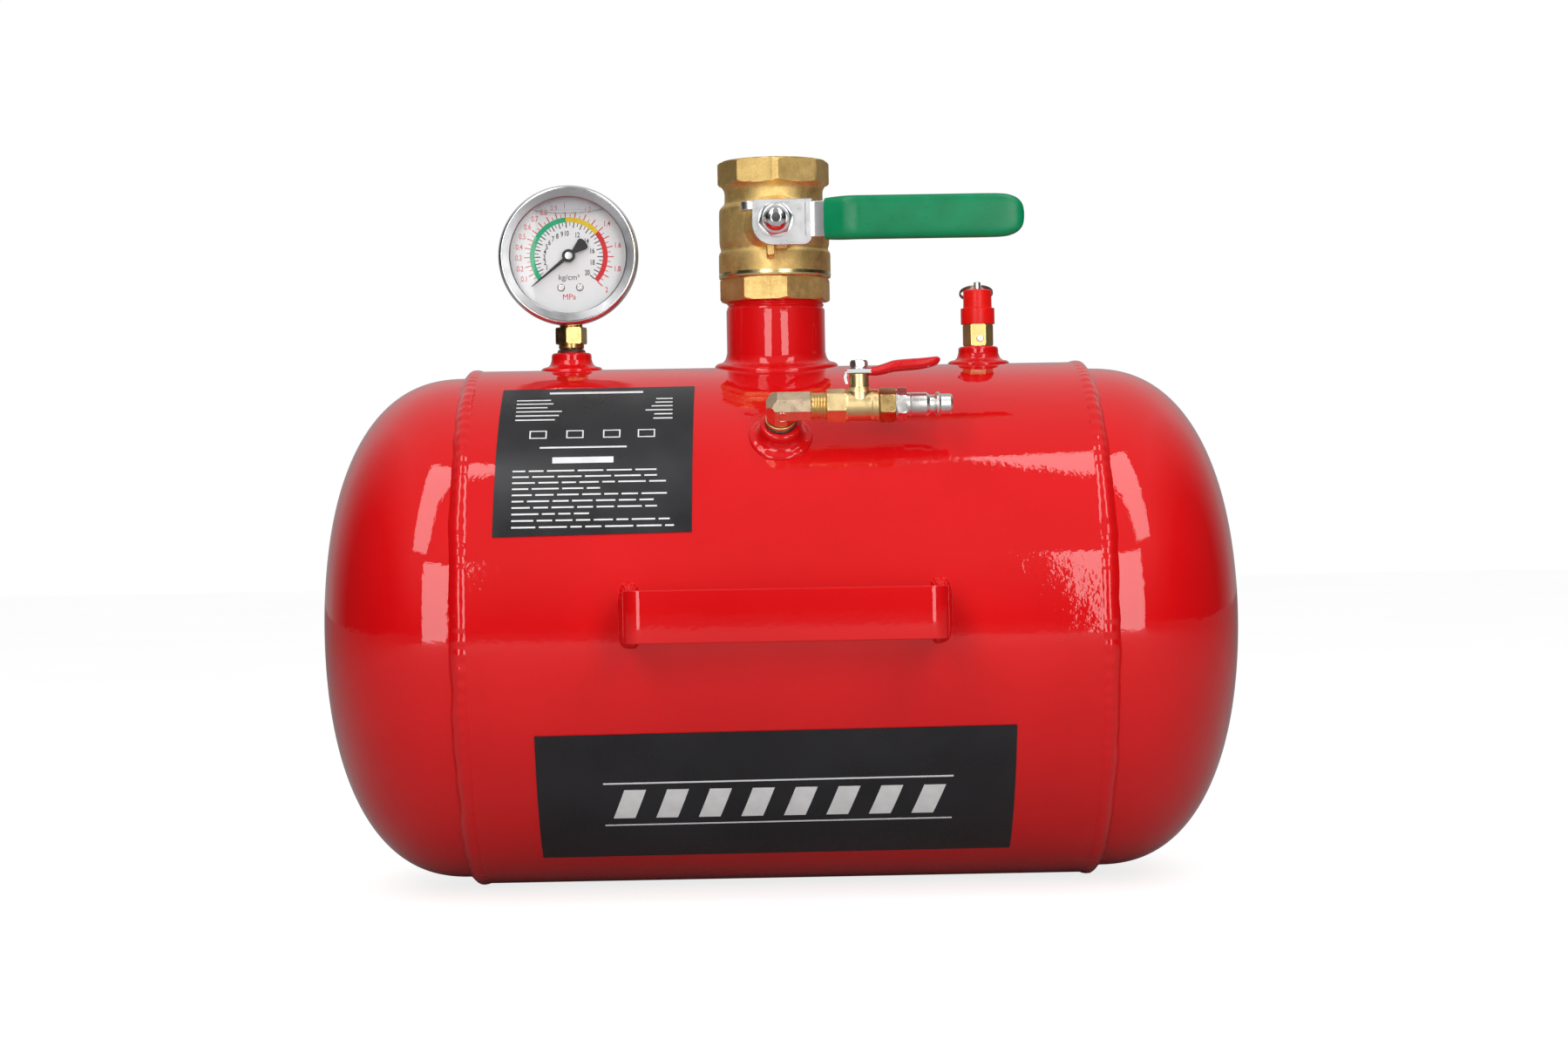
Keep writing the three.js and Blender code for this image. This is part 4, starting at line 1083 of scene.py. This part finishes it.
def dial():
    disc = turned_solid([(DIAL_R, 9), (DIAL_R, DIAL_FACE, 0.1)], 128)
    add("dial_plate", on_gauge(disc), DIAL_WHITE, nodes=["gauge_dial"])
    for name, ink, start, end in (
        ("green", INK_GREEN, 0, 10),
        ("yellow", INK_YELLOW, 10, 14),
        ("red", INK_RED, 14, 20),
    ):
        sector = band(BAND_IN, BAND_OUT, dial_angle(start), dial_angle(end))
        add("dial_" + name + "_band", on_gauge(sector), ink, slot="dial_white")
    black_print_and_shade, red = [], []
    for half in range(41):
        turn = dial_angle(half / 2)
        width, inner, outer = (0.35, 14.8, 20.5) if half % 2 else (0.5, 13.9, 21.9)
        black_print_and_shade.append(tick(inner, BAND_IN + 0.1, turn, width))
        red.append(tick(BAND_OUT, outer, turn, width))
    for value in (*range(1, 11), 12, 14, 16, 18, 20):
        turn = dial_angle(value)
        inset = 12 - 0.8 * max(0.0, math.sin(math.radians(turn)))
        black_print_and_shade.append(lettering(str(value), 2.5, *dial_place(inset, turn), 0.06, 0.7))
        figure = str(value / 10) if value % 10 else str(value // 10)
        red.append(lettering(figure, 2.6, *dial_place(24.6, turn), 0.03, 0.76))
    black_print_and_shade.append(lettering("kg/cm²", 2.7, 0, -10.7))
    red.append(lettering("MPa", 2.7, 0, -19.8))
    # A thin black ring round each dial screw is painted shade at the edge of its head, made in one mesh with
    # the dial's black print.
    for _, x, _ in DIAL_SCREWS:
        black_print_and_shade.append(band(1.6, 1.85, 0, 359).moved(x, DIAL_SCREW_Y))
    add("dial_black_print_and_screw_shade", on_gauge(total(black_print_and_shade)), INK_AND_SHADE_BLACK, slot="dial_white", sharp=20)
    add("dial_red_print", on_gauge(total(red)), INK_RED, sharp=20)
    for name, x, turn in DIAL_SCREWS:
        screw = slotted_screw(1.6, DIAL_FACE, DIAL_FACE + 0.6, turn).moved(x, DIAL_SCREW_Y)
        add(name + "_dial_screw", on_gauge(screw), NICKEL, slot="brass")


def slotted_screw(radius, low, high, turn):
    edge = [(radius, low), (radius, high - 0.15, 0.1), (radius * 0.8, high, 0.2)]
    head = turned_solid(edge, 48)
    slot = slab([(-9, -0.2), (9, -0.2), (9, 0.2), (-9, 0.2)], high - 0.4, high + 1)
    return carve(head, slot).turned("Z", turn)


def pointer():
    blade = [(-10.6, -1.2), (-10.2, -2.3), (-9.4, -3.05), (-8.6, -3.05), (-5, -1.7), (-3.4, -1.1)]
    blade += [(3, -0.9), (23.5, -0.22)]
    outline = blade + [(x, -y) for x, y in blade[::-1]]
    flat = slab(outline, 11.95, 12.4)
    hub = turned_ring([(1.9, 12), (3.2, 12), (3.2, 12.9, 0.2), (1.9, 12.9, 0.2)], 64)
    add("pointer_blade", on_gauge((flat + hub).turned("Z", 219)), INK_AND_SHADE_BLACK, "pointer_set",
        nodes=["gauge_pointer"])
    pin = turned_solid([(1.9, 12.3), (1.9, 13, 0.3)], 48)
    add("pointer_hub_cap", on_gauge(pin), ZINC, "pointer_set", slot="brass")


def fluid():
    """The damping fluid fills the gauge to just under its top, and its surface curves up at the sides."""
    surface = np.linspace(-FLUID_HALF, FLUID_HALF, 33)
    line = [(x, 20.7 + 1.6 * (abs(x) / FLUID_HALF) ** 2.2) for x in surface]
    ends = [math.degrees(math.atan2(22.3, x)) for x in (FLUID_HALF, -FLUID_HALF)]
    outline = line + arc(0, 0, 28.2, *ends, 24)
    # The pale sheet over the air pocket is painted light.
    sheet = slab(outline, 13.3, 13.4)
    add("air_pocket_light_veil", on_gauge(sheet), AIR_POCKET_LIGHT)
    # A thin dark rod along the fluid's surface is painted shade, standing in for the dark line that the
    # meniscus shows.
    edge = sweep(level(line, 13.3), round_bar(0.14, 8))
    add("fluid_shade_line", on_gauge(edge), DARK_STEEL_AND_SHADE, slot="clear_lens", sharp=80)


def socket():
    hexes = nut(7.9, 137.9, 146, 14.5)
    collar = turned_solid([(6.2, 135.7, 0.3), (6.2, 138, 0.1)], 64)
    screw = thread(5.9, 0.5, 1.4, 133.3, 135.8)
    root = spun([(0.01, 121), (5.5, 121), *screw, (5.5, 135.9), (0.01, 135.9)], 64)
    shaft = turned_solid([(5.6, 145.8), (5.6, 149, 0.5), (5, 149.6), (5, 153)], 64)
    # The stem's darker brass is painted shade.
    add("gauge_stem", (hexes + collar + root + shaft).moved(x=GAUGE_X), SHADED_BRASS, nodes=["gauge_socket"])
    seal = turned_ring([(5.9, 133), (6.9, 133.1), (7.0, 134, 0.6), (6.3, 135, 0.4), (5.9, 135.2)], 64)
    points = seal.points
    wobble = 1 + 0.06 * lumps(points / 2.2, 1.0, 7)
    seal = Shape(points * np.stack([wobble, wobble, np.ones_like(wobble)], 1), seal.faces)
    add("gauge_sealant", seal.moved(x=GAUGE_X), SEALANT, slot="brass", sharp=80)


# ---- the air inlet


def on_inlet(shape):
    return shape.along_x().moved(0, INLET_Y, INLET_Z)


def inlet():
    elbow()
    inlet_valve()
    coupler()
    inlet_lever()


def elbow():
    """A forged elbow: an octagonal bar mitred into an L, with its outer corner cut off."""
    outline = [(7.15 * math.cos(a), 7.15 * math.sin(a)) for a in angles(8) + math.radians(22.5)]
    rows = [[(-out * 0.94, side * 0.94, 137.2) for out, side in outline]]
    rows.append([(-out, side, 137.7) for out, side in outline])
    rows.append([(-out, side, INLET_RADIAL + out) for out, side in outline])
    rows.append([(13.4, side, INLET_RADIAL + out) for out, side in outline])
    rows.append([(13.9, side * 0.94, INLET_RADIAL + out * 0.94) for out, side in outline])
    cut = [(-9.2, 143), (1, 153.2), (-9.2, 153.2)]
    corner = grid([[(x, y, z) for x, z in cut] for y in (-12, 12)])
    body = carve(grid(rows), corner)
    mark = turned_ring([(2.4, 6.4), (2.8, 6.4), (2.8, 6.85, 0.15), (2.4, 6.85, 0.15)], 48)
    mark = mark.to_front().moved(x=0.6, z=INLET_RADIAL - 0.6)
    male = cylinder(6, 127, 137.4)
    shape = (body + mark + male).turned("X", INLET_TILT)
    add("elbow", shape, PINK_BRASS, nodes=["inlet_elbow"], sharp=20, bevel=0.4)
    washer = turned_ring([(6.2, 135.2), (7.0, 135.2, 0.3), (7.0, 136.6, 0.4), (6.2, 136.6, 0.2)])
    add("elbow_washer", washer.turned("X", INLET_TILT), YELLOW_BRASS, nodes=["inlet_washer"],
        slot="zinc_plate")
    seal = turned_ring([(6.1, 133), (7.1, 133.1), (7.3, 134.4, 0.5), (6.1, 135.3)], 64)
    add("elbow_sealant", seal.turned("X", INLET_TILT), SEALANT, slot="zinc_plate", sharp=80)


def inlet_valve():
    screw = [(0.01, 6.0), (5.6, 6.0)] + thread(6.35, 0.55, 1.3, 6.1, 21.1, 12) + [(5.7, 21.2), (0.01, 21.2)]
    hexes = nut(8.08, 21.1, 29.8, 48)
    trunk = [(7.3, 29.5), (7, 30.6, 0.6), (6.95, 41.2, 0.6), (7.4, 42.2, 0.6), (7.4, 44.4, 0.8)]
    trunk = turned_solid([*trunk, (6.8, 45.3, 0.3)], 128)
    throat = [(6.8, 0), (6.2, 6.2, 1.5), (4.7, 8.2, 1.6), (4.45, 14.3, 0.4)]
    throat = turned_solid(throat)
    shape = on_inlet(spun(screw) + hexes + trunk)
    upright = throat.moved(INLET_STEM_X, INLET_Y, INLET_Z)
    add("inlet_casting", shape + upright, DRAWN_BRASS, nodes=["inlet_valve_body"])
    second = nut(8.08, 45.4, 52.3, 56)
    # The second hexagon's darker brass is a painted reflection of the red tank.
    add("inlet_insert_hexagon", on_inlet(second), SHADED_BRASS, nodes=["inlet_valve_insert"])


def coupler():
    body = nut(8.08, 53.3, 57.5, 0, 0.7)
    flange = [(0, 52.2), (6.6, 52.2), (7, 52.6, 0.2), (7, 53.4), (5.6, 53.4), (5.6, 59, 0.1)]
    barrel = [(5.3, 59.4, 0.1), (5.55, 59.8, 0.1), (5.55, 66.6, 0.5)]
    groove = [(4.4, 68.2, 0.6), (4.3, 70.4, 0.5), (5.6, 71.3, 0.5), (5.7, 72.3, 0.5)]
    nose = [(4.75, 73.2, 0.4), (4.7, 77.6, 0.3), (4.2, 78.5, 0.2), (2.6, 78.5, 0.1), (2.6, 60), (0, 60)]
    plug = turned_solid([*flange, *barrel, *groove, *nose], 128)
    add("plug_coupler", on_inlet(body + plug), NICKEL, nodes=["coupler_plug"])


def inlet_lever():
    body = "inlet_lever_set"
    line = [(30.4, 15.5), (36, 15.5), (42, 15.5), (46, 15.9), (50, 17.2), (54, 18), (68, 18)]
    arm = sweep([(x, 0, z) for x, z in spline(line, 30)], box_outline(2, 9, 0.4), (0, 1, 0))
    line = [(33, 15.5), (31.4, 15.4), (30.4, 14.9), (29.8, 13.9), (29.6, 12.6), (29.9, 11.2), (30.4, 9.8)]
    hook = sweep([(x, 0, z) for x, z in line], box_outline(1.5, 4, 0.4), (0, 1, 0))
    shape = (arm + hook).moved(0, INLET_Y, INLET_Z)
    add("inlet_lever_plate", shape, ZINC, body, nodes=["inlet_lever"])
    grip = [(40.6, 15.5), (44, 15.7), (48, 16.6), (52, 17.7), (58, 18.2), (64, 18.6), (69, 19.3)]
    grip += [(72, 20.0), (73.3, 20.4)]
    wide = [8.6, 10.6, 11.8, 12.4, 12.6, 12.2, 10.8, 8.0, 2.6]
    deep = [3.6, 4.4, 5.0, 5.3, 5.4, 5.2, 4.6, 3.6, 1.2]
    sections = []
    for (x, z), w, d in zip(grip, wide, deep):
        sections.append([(x, INLET_Y + a, INLET_Z + z + b) for a, b in super_outline(w, d, 2.6, 32)])
    add("inlet_grip_sleeve", refined(sections), RED_VINYL, body, nodes=["inlet_lever_grip"], sharp=70)
    washer = turned_solid([(4.6, 16.4, 0.1), (4.6, 17, 0.1)], 64)
    nuts = washer + nut(4.2, 17, 20.6, 8, 1.2, low=0.86)
    nuts += turned_solid([(1.5, 14), (1.5, 21, 0.3), (0, 21.1)], 32)
    add("inlet_nut", nuts.moved(INLET_STEM_X, INLET_Y, INLET_Z), ZINC, body, nodes=["inlet_lever_nut"])


# ---- the safety valve


def safety_valve():
    hexes = nut(7.5, 133.8, 144.4, -3)
    root = cylinder(6, 122, 134)
    add("safety_hexagon", (hexes + root).moved(x=SAFETY_X), YELLOW_BRASS, nodes=["safety_valve_body"])
    screw = slotted_screw(1.75, 6.2, 6.9, 80).to_front().moved(SAFETY_X + 0.5, 0, 137.2)
    add("safety_set_screw", screw, ZINC, nodes=["safety_screw"])
    skirt = [(1.95, 144.5), (8.3, 144.5, 0.2), (8.3, 152.2, 0.3), (7, 152.6, 0.2)]
    top = [(6.9, 161, 0.5), (4.6, 161.6, 0.6), (1.95, 161.7, 0.3)]
    add("safety_bonnet", turned_ring(skirt + top).moved(x=SAFETY_X), RED_PLASTIC, nodes=["safety_cap"])
    rod = turned_solid([(1.7, 134.6), (1.7, 165.1, 0.4), (0, 165.5)], 48)
    eye = spun([(0.95, -4), (0.95, 4)], 32).along_x().moved(z=RING_Z)
    add("pull_pin", carve(rod, eye).moved(x=SAFETY_X), ZINC, "pull_rod", nodes=["safety_rod"])
    add("split_ring", split_ring(), DARK_STEEL_AND_SHADE, "ring", nodes=["pull_ring"], sharp=80)


def split_ring():
    """Two turns of wire lying against each other, joined by a short step from one to the other."""
    path = []
    for turn in np.linspace(0, 4 * math.pi, 160, endpoint=False):
        lift = 0.45 * math.tanh(7 * math.sin(turn / 2 - math.pi / 2))
        path.append((RING_R * math.cos(turn), RING_R + RING_R * math.sin(turn), lift))
    sections = []
    path = np.array(path)
    for i, point in enumerate(path):
        ahead = path[(i + 1) % len(path)] - path[i - 1]
        ahead /= np.linalg.norm(ahead)
        out = np.cross(ahead, (0, 0, 1))
        out /= np.linalg.norm(out)
        up = np.cross(out, ahead)
        sections.append([point + out * a + up * b for a, b in round_bar(0.44, 10)])
    return grid(sections, loop=True).turned("X", -RING_TILT).moved(SAFETY_X, 0, RING_Z)


# ---- CAD nodes that stay


def dress_frame():
    """Gives the inner pieces, which keep their CAD shape, their finishes."""
    for finish, names in (
        (BRIGHT_BRASS, ("pointer_arbor", "sector_gear", "gauge_movement", "bourdon_tube", "safety_poppet")),
        (WHITE_PLASTIC, ("stem_packing", "inlet_front_seat", "inlet_back_seat")),
        (CHROME, ("inlet_ball",)),
        (ZINC, ("inlet_stem",)),
        (DARK_STEEL_AND_SHADE, ("safety_spring",)),
    ):
        for name in names:
            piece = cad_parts[name]
            piece.data.materials.clear()
            piece.data.materials.append(finish)


# ---- studio


def stage_floor():
    """A wide white floor, which the camera sees as bright as the room."""
    corners = [(x * FLOOR_HALF, y * FLOOR_HALF) for x, y in ((-1, -1), (1, -1), (1, 1), (-1, 1))]
    mesh = bpy.data.meshes.new("studio_floor")
    mesh.from_pydata(level(corners, FLOOR_Z), [], [[0, 1, 2, 3]])
    floor = placed("studio_floor", mesh)
    paper = material("white_paper", Roughness=0.9, Emission_Color=(1, 1, 1, 1))
    vary_colour(paper, grain(paper, 400, 2), (0.40, 0.40, 0.40), (0.44, 0.44, 0.44))
    glow = rescaled(paper, node(paper, "LightPath").outputs["Is Camera Ray"], 0, 1, 0, 0.8)
    link(paper, glow, shader_of(paper).inputs["Emission Strength"])
    mesh.materials.append(paper)


def softbox(name, place, target, width, height, power):
    light = bpy.data.lights.new(name, "AREA")
    light.shape = "RECTANGLE"
    light.size = width
    light.size_y = height
    light.energy = power
    item = placed(name, light)
    item.location = place
    way = Vector(target) - Vector(place)
    item.rotation_euler = way.to_track_quat("-Z", "Y").to_euler()


def combined(made, operation, *sources):
    """The result of a Math node fed by one or two sources."""
    new = node(made, "Math")
    new.operation = operation
    for source, socket in zip(sources, new.inputs):
        link(made, source, socket)
    return new.outputs["Value"]


def world_light():
    """A dim room, darker below, in front and at both ends, that the camera sees as plain white."""
    world = bpy.data.worlds.new("studio")
    world.use_nodes = True
    way = node(world, "SeparateXYZ")
    link(world, node(world, "TexCoord").outputs["Generated"], way.inputs["Vector"])
    above = rescaled(world, way.outputs["Z"], 0.05, 0.5, 0.08, 0.38)
    behind = rescaled(world, way.outputs["Y"], -0.3, 0.7, 0.0, 0.25)
    flank = rescaled(world, combined(world, "ABSOLUTE", way.outputs["X"]), 0.5, 0.85, 1.0, 0.1)
    dim = combined(world, "MULTIPLY", combined(world, "ADD", above, behind), flank)
    seen = combined(world, "MAXIMUM", dim, node(world, "LightPath").outputs["Is Camera Ray"])
    back = world.node_tree.nodes["Background"]
    back.inputs["Color"].default_value = (1, 1, 1, 1)
    link(world, seen, back.inputs["Strength"])
    bpy.context.scene.world = world


def lights():
    for name, side in (("left", -1), ("right", 1)):
        softbox(name + "_box", (side * 0.5, -1.4, 0.45), (side * 0.2, -0.2, 0.2), 0.42, 0.9, SIDE_POWER)
        softbox(name + "_upper_box", (side * 0.62, -0.85, 1.5), (side * 0.2, 0, 0.2), 0.4, 1.3, UPPER_POWER)
    world_light()
    bpy.context.scene.view_settings.view_transform = "Standard"


def camera():
    yaw, pitch, roll = (math.radians(turn) for turn in (VIEW_YAW, VIEW_PITCH, VIEW_ROLL))
    ahead = Vector((math.sin(yaw) * math.cos(pitch), math.cos(yaw) * math.cos(pitch), math.sin(pitch)))
    right = Vector((math.cos(yaw), -math.sin(yaw), 0))
    up = right.cross(ahead)
    tilted_right = math.cos(roll) * right + math.sin(roll) * up
    tilted_up = -math.sin(roll) * right + math.cos(roll) * up
    lens = bpy.data.cameras.new("view")
    lens.sensor_width = 36
    lens.lens = VIEW_LENS
    item = placed("view", lens)
    turn = Matrix((tilted_right, tilted_up, -ahead)).transposed().to_4x4()
    item.matrix_world = Matrix.Translation(VIEW_PLACE) @ turn
    bpy.context.scene.camera = item


camera()
shell()
heads()
girth_weld("right_girth_run", 1, 11)
girth_weld("left_girth_run", -1, 12)
bosses()
neck()
handle()
labels()
main_valve()
main_lever()
gauge()
inlet()
safety_valve()
dress_frame()
stage_floor()
lights()
